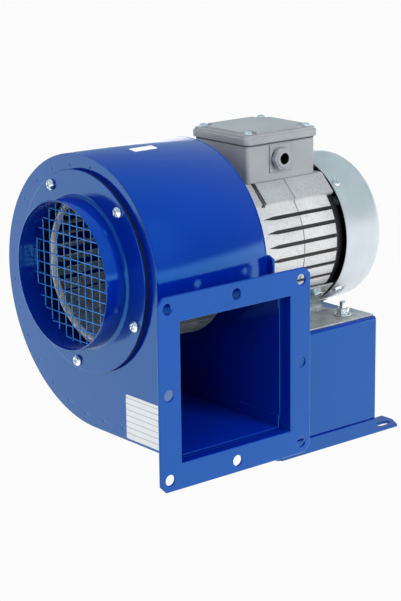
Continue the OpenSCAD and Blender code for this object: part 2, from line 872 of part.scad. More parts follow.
module rear_end_shield() {
    hub_out = bearing_r + shield_hub_t;
    hub_end = rear_bearing_y + bearing_w + shield_hub_t / 2;
    lug_y = motor_end + pad_over + rest_gap;
    color("#17191c") difference() {
        union() {
            spun() {
                band(frame_bore_r, rim_seat_r - seat_gap, motor_end - rim_len, motor_end);
                band(hub_out, rear_band_r, motor_end, rear_band_end);
                band(bearing_r + seat_gap, hub_out, motor_end, hub_end);
                band(core_seat_r + shield_shaft_gap, hub_out, rear_bearing_y + bearing_w, hub_end);
            }
            placed() ring_of(cowl_screw_n, 0, cowl_screw_turn)
                translate([rear_band_r - lug_t, 0, -lug_w / 2]) {
                    translate([0, lug_y, 0]) cube([lug_t, cowl_y + lug_end - lug_y, lug_w]);
                    translate([0, rear_band_end + cut, 0])
                        cube([lug_r - rear_band_r + lug_t, cowl_y + lug_end - rear_band_end - cut, lug_w]);
                }
        }
        placed() ring_of(cowl_screw_n, 0, cowl_screw_turn)
            translate([lug_r - cowl_screw_len, cowl_screw_y, 0]) rotate([0, 90, 0])
                cylinder(r = m4_r + thread_gap, h = cowl_screw_len + cut, $fn = small);
        slab(motor_end - rim_len - cut, rear_band_len + rim_len + 2 * cut)
            flat_ring_of(tie_bolt_n, tie_bolt_pcd_r, tie_bolt_turn) circle(r = m5_r + bolt_gap, $fn = small);
        spun() band(lug_r, lug_r + lug_t, motor_end, cowl_end);
    }
}

// Tie bolts that draw the two end shields onto the ribbed body
module tie_bolts() {
    color("#a9adb0") placed() ring_of(tie_bolt_n, tie_bolt_pcd_r, tie_bolt_turn)
        translate([0, rear_band_end, 0]) rotate([-90, 0, 0])
            hex_bolt(m5_r, m5_af, hub_bolt_head_h, rear_band_len + motor_len + tie_bolt_tail - cut);
}

// Motor body
module groove(turn) {
    mid_r = motor_r - groove_depth;
    placed() rotate([0, -turn, 0]) {
        translate([mid_r, 0, 0]) rotate([0, 90, 0]) linear_extrude(2 * groove_depth) polygon([
            [0, motor_y + groove_tip], [groove_w / 2, motor_y + groove_tip + groove_taper],
            [groove_w / 2, seam_y], [-groove_w / 2, seam_y],
            [-groove_w / 2, motor_y + groove_tip + groove_taper]
        ]);
        translate([mid_r, seam_y - cut / 2, -groove_w / 2])
            cube([2 * groove_depth, motor_end - seam_y + 2 * cut, groove_w]);
    }
}

// The flat faces beside the terminal box, with the seat between them
module pad_2d() {
    polygon([
        [-seat_x, seat_top], [seat_x, seat_top], [pad_out, pad_low], [pad_in, pad_foot],
        [-pad_in, pad_foot], [-pad_out, pad_low]
    ]);
}

module motor_frame() {
    pitch = 360 / rib_n;
    side = [for (i = [-rib_n / 4 : rib_n / 4 - 1]) (i + 0.5) * pitch];
    color("#b3b5b7") difference() {
        union() {
            slab(motor_y, motor_len) polygon([for (i = [0 : rib_n - 1])
                motor_r * [cos((i + 0.5) * pitch), sin((i + 0.5) * pitch)]]);
            slab(motor_y + pad_set, slot_set) pad_2d();
            slab(motor_y + pad_set + slot_set + slot_gap,
                motor_len - pad_set - slot_set - slot_gap + pad_over) pad_2d();
            slab(motor_y + feet_set, motor_len - feet_set) for (a = [-feet_turn, feet_turn - 180])
                rotate(a) translate([motor_r - feet_pad_sink, -feet_pad_half])
                    square([feet_pad_sink, 2 * feet_pad_half]);
        }
        spun() {
            band(0, frame_bore_r, motor_y - cut, motor_end + cut);
            band(0, rim_seat_r, motor_y - cut, motor_y + rim_len);
            band(0, rim_seat_r, motor_end - rim_len, motor_end + pad_over + cut);
            band(0, rear_band_r + rest_gap, motor_end, motor_end + pad_over + cut);
            band(motor_r - seam_depth, motor_r + motor_r / 2, seam_y - seam_w, seam_y);
        }
        for (a = side) if (a < groove_high && a > groove_low) {
            groove(a);
            groove(180 - a);
        }
        foot_bolt_places() translate([-foot_tap - feet_t - foot_washer_t, 0, 0]) rotate([0, 90, 0])
            cylinder(r = m6_r + thread_gap, h = foot_tap + cut, $fn = small);
        placed() for (s = [-1, 1], t = [-1, 1])
            translate([s * box_screw_x, box_mid + t * box_screw_y, seat_top - box_screw_len])
                cylinder(r = m4_r + thread_gap, h = box_screw_len + cut, $fn = small);
        sheet_z(seat_top, motor_r) translate([-seat_x, box_y0 - rest_gap]) square([2 * seat_x, motor_len]);
        placed() translate([0, wire_y, 0]) cylinder(r = wire_hole_r, h = seat_top + cut, $fn = small);
        slab(motor_y - cut, motor_len + 2 * cut)
            flat_ring_of(tie_bolt_n, tie_bolt_pcd_r, tie_bolt_turn) circle(r = m5_r + bolt_gap, $fn = small);
    }
}

module stator_core() {
    color("#70767a") slab(core_y, core_len) difference() {
        circle(r = core_r, $fn = fine);
        circle(r = bore_r, $fn = fine);
        flat_ring_of(stator_slot_n, bore_r + tooth_tip)
            translate([0, -stator_slot_w / 2]) square([stator_slot_len, stator_slot_w]);
    }
}

module stator_winding() {
    bar = stator_slot_w - 2 * slot_liner;
    color("#b5652b") {
        spun() {
            band(winding_in, winding_out, core_y - winding_len, core_y - slot_liner);
            band(winding_in, winding_out, core_end + slot_liner, core_end + winding_len);
        }
        slab(core_y - slot_liner - cut, core_len + 2 * slot_liner + 2 * cut)
            flat_ring_of(stator_slot_n, bore_r + tooth_tip + slot_liner)
                translate([0, -bar / 2]) square([stator_slot_len - 2 * slot_liner, bar]);
    }
}

// Cooling fan and cowl
module cooling_fan() {
    color("#26292c") {
        spun() {
            band(fan_seat_r + seat_gap, fan_hub_r, fan_y, fan_y + fan_len);
            band(fan_seat_r + seat_gap, fan_r, fan_y, fan_y + fan_disc_t);
        }
        placed() ring_of(fan_blade_n, 0) translate([fan_hub_r - cut, fan_y, -fan_blade_t / 2])
            cube([fan_r - fan_hub_r + cut, fan_len, fan_blade_t]);
    }
}

module fan_clip() {
    color("#9da1a4") spun() band(fan_seat_r + seat_gap, fan_seat_r + clip_w, fan_y + fan_len, fan_y + fan_len + clip_t);
}

// The cowl's outline in radius and y, drawn in by off, its closed end a full round dome
module cowl_profile(off) {
    r = cowl_r - off;
    rise = cowl_round - off;
    base = cowl_end - cowl_round;
    band(0, r, cowl_y - (off > 0 ? cut : 0), base);
    polygon(concat([[0, base]], [for (i = [0 : dome_steps]) let (a = i * 90 / dome_steps)
        [r * pow(cos(a), dome_power), base + rise * pow(sin(a), dome_power)]]));
}

module fan_cowl() {
    color("#b9c0c4") difference() {
        spun() difference() {
            cowl_profile(0);
            cowl_profile(cowl_t);
        }
        placed() ring_of(slot_n, 0) translate([slot_in, cowl_end - cowl_round, -slot_w / 2])
            cube([slot_out - slot_in, cowl_round + cut, slot_w]);
        placed() ring_of(cowl_screw_n, 0, cowl_screw_turn)
            translate([cowl_r - 2 * cowl_t, cowl_screw_y, 0]) rotate([0, 90, 0])
                cylinder(r = m4_r + bolt_gap, h = 3 * cowl_t, $fn = small);
    }
}

module cowl_screws() {
    color("#dde1e4") placed() ring_of(cowl_screw_n, 0, cowl_screw_turn)
        translate([cowl_r, cowl_screw_y, 0]) rotate([0, 90, 0])
            pan_screw(m4_r, m4_head_r, m4_head_h, cowl_screw_len);
}

// A rectangle with round corners, centred on the terminal box
module box_rect(grow, r) {
    x = box_x / 2 + grow;
    y = box_y / 2 + grow;
    translate([0, box_mid]) {
        square([2 * x, 2 * (y - r)], center = true);
        square([2 * (x - r), 2 * y], center = true);
        for (i = [-1, 1], j = [-1, 1]) translate([i * (x - r), j * (y - r)]) circle(r = r, $fn = small);
    }
}

// Places of the lid's four screws
module lid_places() {
    for (i = [-1, 1], j = [-1, 1])
        translate([i * (box_x / 2 - corner_boss_in), box_mid + j * (box_y / 2 - corner_boss_in)]) children();
}

// Places of the box's four fixing screws
module box_screw_places() {
    for (i = [-1, 1], j = [-1, 1]) translate([i * box_screw_x, box_mid + j * box_screw_y]) children();
}

module terminal_box() {
    color("#9aa09f") difference() {
        union() {
            sheet_z(seat_top, box_floor) box_rect(0, box_round);
            sheet_z(seat_top, box_h) difference() {
                box_rect(0, box_round);
                box_rect(-box_wall, box_round / 2);
            }
            sheet_z(seat_top, box_h) intersection() {
                box_rect(0, box_round);
                lid_places() circle(r = corner_boss_r, $fn = small);
            }
            placed() translate([box_x / 2 - box_wall, panel_y - panel_w / 2, gland_z - panel_h / 2])
                cube([box_wall + panel_t, panel_w, panel_h]);
        }
        sheet_z(box_top - lid_screw_len, lid_screw_len + cut) lid_places() circle(r = m4_r + thread_gap, $fn = small);
        sheet_z(seat_top - cut, box_floor + 2 * cut) {
            box_screw_places() circle(r = m4_r + bolt_gap, $fn = small);
            translate([0, wire_y]) circle(r = wire_hole_r, $fn = small);
        }
        placed() translate([box_x / 2 - box_wall - cut, gland_y, gland_z]) rotate([0, 90, 0])
            cylinder(r = gland_thread_r + seat_gap, h = box_wall + panel_t + 2 * cut, $fn = small);
    }
}

module box_gasket() {
    color("#2c2e30") sheet_z(box_top, box_gasket_t) difference() {
        box_rect(0, box_round);
        box_rect(-box_wall, box_round / 2);
        lid_places() circle(r = m4_r + bolt_gap, $fn = small);
    }
}

module box_lid() {
    step_z = lid_top - lid_step;
    color("#a3a9a8") difference() {
        union() {
            sheet_z(lid_y, lid_h - lid_step) box_rect(lid_over, box_round + lid_over);
            sheet_z(step_z, lid_step) box_rect(lid_over - lid_step_in, box_round + lid_over - lid_step_in);
            sheet_z(lid_top, plateau_h) difference() {
                box_rect(lid_over - plateau_in / 2, box_round);
                lid_places() circle(r = plateau_in - lid_over, $fn = small);
            }
        }
        difference() {
            sheet_z(lid_y - cut, lid_h - lid_sheet + cut) box_rect(-box_wall, box_round / 2);
            sheet_z(lid_y - 2 * cut, lid_h) lid_places() circle(r = corner_boss_r, $fn = small);
        }
        sheet_z(lid_y - cut, lid_h + plateau_h + 2 * cut) lid_places() circle(r = m4_r + bolt_gap, $fn = small);
    }
}

module lid_screws() {
    color("#dfe2e4") placed() translate([0, 0, lid_top]) lid_places()
        pan_screw(m4_r, m4_head_r, m4_head_h, lid_h + lid_screw_len / 2);
}

module box_screws() {
    color("#cfd3d5") placed() translate([0, 0, seat_top + box_floor]) box_screw_places()
        pan_screw(m4_r, m4_head_r, m4_head_h, box_floor + box_screw_len / 2);
}

module terminal_block() {
    color("#7d4a30") difference() {
        placed() translate([-block_x / 2, box_mid - block_y / 2, seat_top + box_floor]) difference() {
            cube([block_x, block_y, block_h]);
            translate([block_foot, block_foot, -cut])
                cube([block_x - 2 * block_foot, block_y - 2 * block_foot, block_h / 2 + cut]);
        }
        sheet_z(seat_top + box_floor, block_h + cut) block_places() circle(r = terminal_r + thread_gap, $fn = small);
    }
}

// Places of the six terminals
module block_places() {
    for (i = [-1, 1], j = [0 : stud_n - 1])
        translate([i * stud_row, box_mid + (j - (stud_n - 1) / 2) * stud_pitch]) children();
}

module terminal_studs() {
    block_top = seat_top + box_floor + block_h;
    color("#c8a34a") {
        sheet_z(block_top - block_h / 4, block_h / 4 + terminal_len) block_places() circle(r = terminal_r, $fn = small);
        sheet_z(block_top, terminal_r) block_places() circle(r = 2 * terminal_r, $fn = 6);
    }
}

// Cable gland in the box's outlet side wall
module gland_body() {
    out = gland_x + gland_seal_t;
    tail = gland_seal_t + panel_t + box_wall + gland_tail;
    color("#8d9392") placed() translate([0, gland_y, gland_z]) rotate([0, 90, 0]) difference() {
        union() {
            translate([0, 0, out]) rotate(90) cylinder(r = gland_af / 2 * hex_share, h = gland_flange_t, $fn = 6);
            translate([0, 0, out]) cylinder(r = gland_cap_r, h = gland_flange_t + gland_cap_t, $fn = small);
            translate([0, 0, out - tail]) cylinder(r = gland_thread_r, h = tail + cut, $fn = small);
        }
        translate([0, 0, out - tail - cut])
            cylinder(r = gland_hole_d / 2, h = tail + gland_flange_t + gland_cap_t + 2 * cut, $fn = small);
    }
}

module gland_seal() {
    color("#1d1f21") placed() translate([gland_x, gland_y, gland_z]) rotate([0, 90, 0]) difference() {
        cylinder(r = gland_af / 2, h = gland_seal_t, $fn = small);
        translate([0, 0, -cut]) cylinder(r = gland_thread_r + thread_gap, h = gland_seal_t + 2 * cut, $fn = small);
    }
}

module gland_nut() {
    color("#8a908f") placed() translate([box_x / 2 - box_wall - gland_nut_t, gland_y, gland_z])
        rotate([0, 90, 0]) difference() {
            cylinder(r = gland_af / 2 * hex_share, h = gland_nut_t, $fn = 6);
            translate([0, 0, -cut]) cylinder(r = gland_thread_r + thread_gap, h = gland_nut_t + 2 * cut, $fn = small);
        }
}

// Places of the four foot bolts, on the outside of their washers, with x pointing outwards
module foot_bolt_places() {
    placed() for (a = [feet_turn, 180 - feet_turn], y = [motor_y + foot_bolt_end, motor_end - foot_bolt_end])
        translate([0, y, 0]) rotate([0, a, 0]) translate([motor_r + feet_t + foot_washer_t, 0, 0]) children();
}

// Places of the four studs that hold the feet on the pedestal, in x and y
module stud_places() {
    for (s = [-1, 1]) {
        translate([s * plate_stud_x, pedestal_rear - plate_stud_rear]) children();
        translate([s * plate_stud_x, pedestal_y + plate_stud_front]) children();
    }
}

// One foot's section: a slanted wall, a fold and the flat on the pedestal
module foot_2d(front) {
    a = feet_turn;
    mid_z = feet_fold - motor_h;
    mid_x = (motor_r + feet_t + feet_fold + mid_z * sin(a)) / cos(a);
    low = mid_x * sin(a) + mid_z * cos(a);
    out = feet_fold + feet_t;
    translate([mid_x, plate_z]) square([feet_x - mid_x, feet_t]);
    if (!front) {
        rotate(-a) translate([motor_r, low]) square([feet_t, feet_rise - low]);
        translate([mid_x, mid_z]) intersection() {
            difference() {
                circle(r = out, $fn = fine);
                circle(r = feet_fold, $fn = fine);
            }
            polygon(concat([[0, 0]], [for (i = [0 : 3]) let (b = 180 - a + i * (90 + a) / 3)
                2 * out * [cos(b), sin(b)]]));
        }
    }
}

// Two galvanised sheet feet, bolted to the motor body and standing on the pedestal
module motor_feet() {
    y0 = motor_y + feet_set;
    y1 = motor_end + feet_over;
    back = pedestal_rear - plate_end;
    turn_z = -motor_h + 2 * feet_fold;
    inner = motor_r - motor_h / 2;
    color("#aeb3b2") difference() {
        for (s = [0, 1]) {
            slab(y0, back - y0) mirror([s, 0]) foot_2d(false);
            slab(pedestal_y + rest_gap, y0 - pedestal_y) mirror([s, 0]) foot_2d(true);
        }
        slab(y1, back - y1 + cut) translate([-motor_r, turn_z]) square([2 * motor_r, motor_r]);
        sheet_z(plate_z - cut, turn_z - plate_z + cut + rest_gap) for (s = [0, 1]) mirror([s, 0]) polygon([
            [-cut, y1], [inner - feet_t, y1 + feet_fold], [inner + feet_t, y1 + 2 * feet_fold],
            [inner + feet_fold, back - feet_over], [inner + 2 * feet_over, back + cut], [-cut, back + cut]
        ]);
        sheet_z(plate_z - cut, feet_t + 2 * cut) stud_places() circle(r = m6_r + bolt_gap, $fn = small);
        foot_bolt_places() translate([-feet_t - foot_washer_t - cut, 0, 0]) rotate([0, 90, 0])
            cylinder(r = m6_r + bolt_gap, h = feet_t + 2 * cut, $fn = small);
    }
}

module foot_bolts() {
    color("#d9dcdd") foot_bolt_places() rotate([0, 90, 0])
        hex_bolt(m6_r, m6_af, m6_head_h, foot_washer_t + feet_t + foot_tap - cut);
}

module foot_washers() {
    color("#c5c9cb") foot_bolt_places() translate([-foot_washer_t, 0, 0]) rotate([0, 90, 0]) difference() {
        cylinder(r = foot_washer_r, h = foot_washer_t, $fn = small);
        translate([0, 0, -cut]) cylinder(r = m6_r + bolt_gap, h = foot_washer_t + 2 * cut, $fn = small);
    }
}

module plate_studs() {
    color("#d0d4d6") sheet_z(plate_z - stud_tail, stud_len) stud_places() circle(r = m6_r, $fn = small);
}

module plate_nuts() {
    color("#dde0e2") {
        sheet_z(-motor_h, washer_t) stud_places() difference() {
            circle(r = washer_r, $fn = small);
            circle(r = m6_r + thread_gap, $fn = small);
        }
        sheet_z(washer_t - motor_h, m6_nut_h) stud_places() difference() {
            circle(r = m6_af / 2 * hex_share, $fn = 6);
            circle(r = m6_r + thread_gap, $fn = small);
        }
        sheet_z(plate_z - pedestal_t - m6_nut_h, m6_nut_h) stud_places() difference() {
            circle(r = m6_af / 2 * hex_share, $fn = 6);
            circle(r = m6_r + thread_gap, $fn = small);
        }
    }
}

// Bolts that hold the motor's face to the scroll, from inside the scroll
module face_bolts() {
    color("#cdd1d3") placed() ring_of(face_bolt_n, face_bolt_pcd_r, face_bolt_turn)
        translate([0, scroll_w - sheet_t - washer_t, 0]) rotate([90, 0, 0])
            hex_bolt(m6_r, m6_af, m6_head_h, face_bolt_len);
}

module face_washers() {
    color("#c2c6c8") slab(scroll_w - sheet_t - washer_t, washer_t)
        flat_ring_of(face_bolt_n, face_bolt_pcd_r, face_bolt_turn) difference() {
            circle(r = m6_af / 2 + washer_t, $fn = small);
            circle(r = m6_r + thread_gap, $fn = small);
        }
}

// Pedestal
module support_plate() {
    w = support_w / 2;
    color("#1b52ad") slab(support_y, support_t) difference() {
        polygon([
            [-w, support_low], [w, support_low], [w, support_top - support_cut_z],
            [w - support_cut_x, support_top], [support_cut_x - w, support_top], [-w, support_top - support_cut_z]
        ]);
        circle(r = support_cut_r, $fn = fine);
        translate([-support_cut_r, 0]) square([2 * support_cut_r, support_top + cut]);
    }
}

// The pedestal's section: an upside down U with bent top edges, drawn in by off
module pedestal_2d(off, low) {
    x = pedestal_x - off;
    r = pedestal_bend - off;
    top = plate_z - off;
    translate([-x, low]) square([2 * x, top - r - low]);
    translate([r - x, low]) square([2 * (x - r), top - low]);
    for (s = [-1, 1]) translate([s * (x - r), top - r]) circle(r = r, $fn = small);
}

module pedestal() {
    low = floor_z + foot_t;
    len = pedestal_rear - pedestal_y;
    toe = scroll_w + cheek_toe;
    color("#1f59b4") difference() {
        slab(pedestal_y, len) pedestal_2d(0, low);
        slab(pedestal_y - cut, len - pedestal_t + cut) pedestal_2d(pedestal_t, low - cut);
        sheet_x(-pedestal_x - cut, pedestal_w + 2 * cut) polygon([
            [pedestal_y - cut, low - cut], [toe, low - cut], [toe, low],
            [pedestal_y, low + cheek_nose_h], [pedestal_y - cut, low + cheek_nose_h]
        ]);
        sheet_z(plate_z - pedestal_t - cut, pedestal_t + 2 * cut)
            translate([stud_edge - plate_stud_x, pedestal_y + top_end])
                square([2 * (plate_stud_x - stud_edge), len - 2 * top_end]);
        sheet_z(plate_z - pedestal_t - cut, pedestal_t + 2 * cut)
            stud_places() circle(r = m6_r + bolt_gap, $fn = small);
    }
}

module foot_slot() {
    half = (foot_slot_len - foot_slot_w) / 2;
    for (t = [-1, 1]) translate([0, t * half]) circle(r = foot_slot_w / 2, $fn = small);
    square([foot_slot_w, 2 * half], center = true);
}

// Two foot rails, each a flat leg with two slots and an upright leg outside the pedestal
module foot_rails() {
    x0 = foot_x - foot_w;
    color("#1a50aa") for (s = [-1, 1]) {
        sheet_z(floor_z, foot_t) difference() {
            polygon([
                [s * x0, foot_front], [s * (foot_x - foot_cut_front), foot_front],
                [s * foot_x, foot_front + foot_cut_y], [s * foot_x, foot_rear - foot_cut_y],
                [s * (foot_x - foot_cut_rear), foot_rear], [s * x0, foot_rear]
            ]);
            for (t = [-1, 1]) translate([s * foot_slot_x, foot_mid + t * foot_slot_half]) foot_slot();
        }
        placed() translate([(s - 1) / 2 * pedestal_t + s * pedestal_x, scroll_w + cheek_toe, floor_z])
            cube([pedestal_t, pedestal_len - cheek_toe, foot_h]);
    }
}

// Labels, both blank
module rating_label() {
    color("#e9ebea") slab(-label_t, label_t) translate([label_x, label_z - label_h]) square([label_w, label_h]);
}

module small_label() {
    r = volute_r;
    color("#e6e8e8") slab(sticker_y, sticker_len) translate([-volute_left, -volute_drop])
        intersection() {
            difference() {
                circle(r = r + label_t, $fn = fine);
                circle(r = r, $fn = fine);
            }
            rotate(sticker_turn) translate([0, -sticker_w / 2]) square([2 * r, sticker_w]);
        }
}

front_plate();
rear_plate();
scroll_wrapper();
outlet_flange();
inlet_ring();
inlet_spigot();
inlet_gasket();
inlet_guard();
ring_screws();
ring_nuts();
impeller_blades();
impeller_front_ring();
impeller_back_plate();
impeller_hub();
hub_rivets();
hub_bolt();
hub_washer();
shaft_key();
motor_shaft();
rotor_core();
front_bearing_inner();
front_bearing_balls();
front_bearing_outer();
rear_bearing_inner();
rear_bearing_balls();
rear_bearing_outer();
front_end_shield();
rear_end_shield();
tie_bolts();
motor_frame();
stator_core();
stator_winding();
cooling_fan();
fan_clip();
fan_cowl();
cowl_screws();
terminal_box();
box_gasket();
box_lid();
lid_screws();
box_screws();
terminal_block();
terminal_studs();
gland_body();
gland_nut();
gland_seal();
motor_feet();
foot_bolts();
foot_washers();
plate_studs();
plate_nuts();
face_bolts();
face_washers();
support_plate();
pedestal();
foot_rails();
rating_label();
small_label();
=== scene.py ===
"""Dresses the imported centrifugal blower: paint, castings, wires, screws and labels."""
import json
import math

import bmesh
import bpy
from mathutils import Matrix, Vector


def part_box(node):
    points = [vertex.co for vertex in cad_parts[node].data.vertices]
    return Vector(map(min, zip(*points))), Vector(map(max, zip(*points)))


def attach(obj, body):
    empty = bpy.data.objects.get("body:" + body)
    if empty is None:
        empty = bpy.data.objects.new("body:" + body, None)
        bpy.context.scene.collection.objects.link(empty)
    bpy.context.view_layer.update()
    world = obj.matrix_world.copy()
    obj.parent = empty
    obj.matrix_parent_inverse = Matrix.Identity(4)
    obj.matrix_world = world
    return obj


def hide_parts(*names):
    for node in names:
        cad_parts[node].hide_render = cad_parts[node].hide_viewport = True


bl_info = {
    "name": "Centrifugal blower",
    "version": (1, 0, 0),
    "blender": (4, 5, 0),
    "location": "View3D > Sidebar > Blower",
    "description": "Builds the finished pieces of an industrial centrifugal blower",
    "category": "Object",
}

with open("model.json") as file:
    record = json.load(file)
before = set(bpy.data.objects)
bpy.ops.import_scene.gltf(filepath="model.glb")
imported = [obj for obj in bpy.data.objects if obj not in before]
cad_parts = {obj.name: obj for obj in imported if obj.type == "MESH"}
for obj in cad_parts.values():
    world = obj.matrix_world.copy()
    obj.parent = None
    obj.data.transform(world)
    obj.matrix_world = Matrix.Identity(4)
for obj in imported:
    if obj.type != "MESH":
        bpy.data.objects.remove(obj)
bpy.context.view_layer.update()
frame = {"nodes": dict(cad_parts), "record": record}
SLOTS = {s["node"]: s["material_slot"] for s in frame["record"]["subparts"]}

# The sizes named in capitals here are in millimetres, and so are places, which are counted from
# the shaft's middle line (x to the outlet's side, z up) and the front plate's outer face (y to the
# motor). ORIGIN is where that point lies in the part's frame, in metres.
shaft_low, shaft_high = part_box("motor_shaft")
plate_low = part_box("front_plate")[0]
ORIGIN = tuple(round(v, 6) for v in (
    (shaft_low[0] + shaft_high[0]) / 2, plate_low[1], (shaft_low[2] + shaft_high[2]) / 2))


def reach(name):
    """A node's lowest and highest corners as places."""
    return [[round((v - o) * 1000, 3) for v, o in zip(corner, ORIGIN)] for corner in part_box(name)]


def middle(name):
    """The middle of a node's box as a place."""
    return [(a + b) / 2 for a, b in zip(*reach(name))]


def at(x, y, z):
    """A place as a vector in metres in the part's frame."""
    return Vector([v / 1000 + o for v, o in zip((x, y, z), ORIGIN)])


# The front plate's volute: each arc's centre, its radius, and the angles it runs between
ARCS = (((-4, -2), 99, 0, 90), ((-4, -13), 110, 90, 180), ((7, -13), 121, 180, 270))
WELD_INSET = 9  # how far inside the plate's edge the spot welds sit
WELD_BALL = 3.6  # radius of the electrode's ball
WELD_DEPTH = 0.35  # how deep it sinks into the plate
WELD_ROW_X = (20, 46, 72, 98)  # the row of welds along the plate's straight foot
WELD_ROW_Z = -125

SPIGOT_LOW, SPIGOT_HIGH = reach("inlet_spigot")
SPIGOT_RIM = SPIGOT_LOW[1]
RING_FACE = SPIGOT_HIGH[1]  # the ring's face, where the spigot stands
ROOT_FILLET = 3.0
SPIGOT_WALL = 1.2
SPIGOT_BORE = SPIGOT_HIGH[0] - ROOT_FILLET - SPIGOT_WALL

GUARD_REACH = SPIGOT_BORE - 0.1  # the wires stop just short of the wall
GUARD_Y = middle("inlet_guard")[1]
GUARD_STEP = 0.25  # half the step between the mesh's two layers
GUARD_BOW = 0.5  # the most that a wire bows sideways
GUARD_WAVE = 0.096  # how far a wire waves over and under the others

# The two rolled beads on the impeller's front ring: radius, place and half thickness
RING_BEADS = ((62.0, 8.4, 0.8), (64.6, 12.4, 0.7))

BODY_CORNERS = 32  # the motor body is cast with this many flat ribs and corners
BODY_R = reach("motor_frame")[1][0] / math.cos(math.pi / BODY_CORNERS)  # out to a corner
RIB_R = BODY_R - 0.21  # where the grooves at the corners open in the flat ribs
GROOVE_W = 3.2
GROOVE_DEPTH = 2.4
SEAM_DEPTH = 1.0  # of the seam round the body
PAD_LOW = 41.8  # lower edge of the flat pads beside the terminal box
SLOT_LOW = 39.0  # lower end of the slot across them
SLOT_Y = (149.3, 153.7)
SLOT_R = (55.0, 65.2)

GLAND_Y, GLAND_Z = middle("gland_body")[1:]
GLAND_BORE = 4.95
BOX_NEAR_SIDE = 24.5  # past this x lie the terminal box's wall with the gland, and the gland
PANEL_X = (34.9, 39.0)  # the raised panel round the gland
PANEL_Z = (64, 89)
PANEL_LINES = (170.6, 196.3)  # the parting lines at its two sides
PANEL_LINE_HALF = 0.3

COWL_LOW, COWL_HIGH = reach("fan_cowl")
COWL_R = COWL_HIGH[0]
COWL_MOUTH = COWL_LOW[1]
COWL_T = 1.0
COWL_RIM = 0.3  # how far the rounded rim of the mouth rises
COWL_FIRST_RING = 0.7  # the first ring of the straight wall, behind the mouth
COWL_RINGS = 21  # rings of the straight wall, close enough for the dimples to show
COWL_RING = 1.6  # from one ring to the next
DOME_H = 25.0
DOME_Y = COWL_HIGH[1] - DOME_H
DOME_FULL = 0.87  # the power that makes the dome's round fuller than an ellipse
COWL_SCREW_TURN = 46  # degrees up from the outlet's side to the first of four screws
COWL_SCREW_Y = middle("cowl_screws")[1]
DIMPLE_IN = 3.9  # inner radius of the pressed dimple round a screw
DIMPLE_OUT = 8.3
DIMPLE_DEPTH = 1.6
DIMPLE_LAST_Y = COWL_SCREW_Y + 8  # behind this the wall gets no dimple
AIR_SLOTS = 20
AIR_SLOT_R = (14, 38)
AIR_SLOT_HALF = 1.5  # half width
AIR_SLOT_Y = (DOME_Y, COWL_HIGH[1] + 1.5)  # reach of the cutter

LABEL_CORNER = 1.8


def on_ring(r, deg, y):
    """A place on a circle round the shaft, the angle counted up from the outlet side."""
    a = math.radians(deg)
    return at(r * math.cos(a), y, r * math.sin(a))


def round_shaft(deg):
    """The matrix that turns a shape round the shaft."""
    centre = Matrix.Translation(at(0, 0, 0))
    return centre @ Matrix.Rotation(math.radians(deg), 4, "Y") @ centre.inverted()


def linear(hex_colour):
    """An sRGB hex colour as the linear colour that the shaders need."""
    out = []
    for i in (1, 3, 5):
        c = int(hex_colour[i:i + 2], 16) / 255
        out.append(c / 12.92 if c <= 0.04045 else ((c + 0.055) / 1.055) ** 2.4)
    return (*out, 1.0)


# Sizes and colours that a user would change


class BlowerPaint(bpy.types.PropertyGroup):
    """Colours of the painted pieces"""
    blue: bpy.props.FloatVectorProperty(
        name="Housing blue", description="Powder coat of the housing and pedestal",
        subtype="COLOR", size=4, min=0, max=1, default=linear("#001D83"))
    silver: bpy.props.FloatVectorProperty(
        name="Cowl silver", description="Paint of the fan cowl",
        subtype="COLOR", size=4, min=0, max=1, default=linear("#AEB4B8"))
    grey: bpy.props.FloatVectorProperty(
        name="Terminal box grey", description="Paint of the terminal box and its lid",
        subtype="COLOR", size=4, min=0, max=1, default=linear("#8A8D90"))


class BlowerSizes(bpy.types.PropertyGroup):
    """Sizes that the frame doesn't give"""
    sheet_edge: bpy.props.FloatProperty(
        name="Sheet edge", description="Rounding of cut and painted sheet edges",
        unit="LENGTH", default=0.0004, min=0.0001, max=0.001)
    cast_edge: bpy.props.FloatProperty(
        name="Cast edge", description="Rounding of cast edges",
        unit="LENGTH", default=0.0006, min=0.0001, max=0.002)
    guard_wire: bpy.props.FloatProperty(
        name="Guard wire", description="Thickness of the inlet guard's wires",
        unit="LENGTH", default=0.0011, min=0.0008, max=0.002)
    guard_pitch: bpy.props.FloatProperty(
        name="Guard mesh", description="Distance between the guard's wires",
        unit="LENGTH", default=0.0097, min=0.006, max=0.014)
    weld_pitch: bpy.props.FloatProperty(
        name="Spot weld spacing", description="Distance between spot welds along the plate edge",
        unit="LENGTH", default=0.026, min=0.015, max=0.05)


# Small modelling helpers


def pick(ob=None):
    """Deselects everything and makes one object active."""
    if bpy.context.mode != "OBJECT":
        bpy.ops.object.mode_set(mode="OBJECT")
    bpy.ops.object.select_all(action="DESELECT")
    if ob is not None:
        ob.select_set(True)
        bpy.context.view_layer.objects.active = ob


def edit(ob, what="FACE"):
    """Opens one object in edit mode with all of it selected."""
    pick(ob)
    bpy.ops.object.mode_set(mode="EDIT")
    bpy.ops.mesh.select_mode(type=what)
    bpy.ops.mesh.select_all(action="SELECT")


def choose_along(axis):
    """In edit mode, selects the edges that run along one axis."""
    ob = bpy.context.edit_object
    bpy.ops.mesh.select_mode(type="EDGE")
    bpy.ops.mesh.select_all(action="DESELECT")
    bm = bmesh.from_edit_mesh(ob.data)
    for e in bm.edges:
        a, b = (v.co for v in e.verts)
        e.select_set(abs((b - a).normalized()[axis]) > 0.9)
    bm.select_flush_mode()
    bmesh.update_edit_mesh(ob.data)


def use(ob, kind, **settings):
    """Adds a modifier and applies it."""
    pick(ob)
    m = ob.modifiers.new(kind.title(), kind)
    for k, v in settings.items():
        setattr(m, k, v)
    bpy.ops.object.modifier_apply(modifier=m.name)


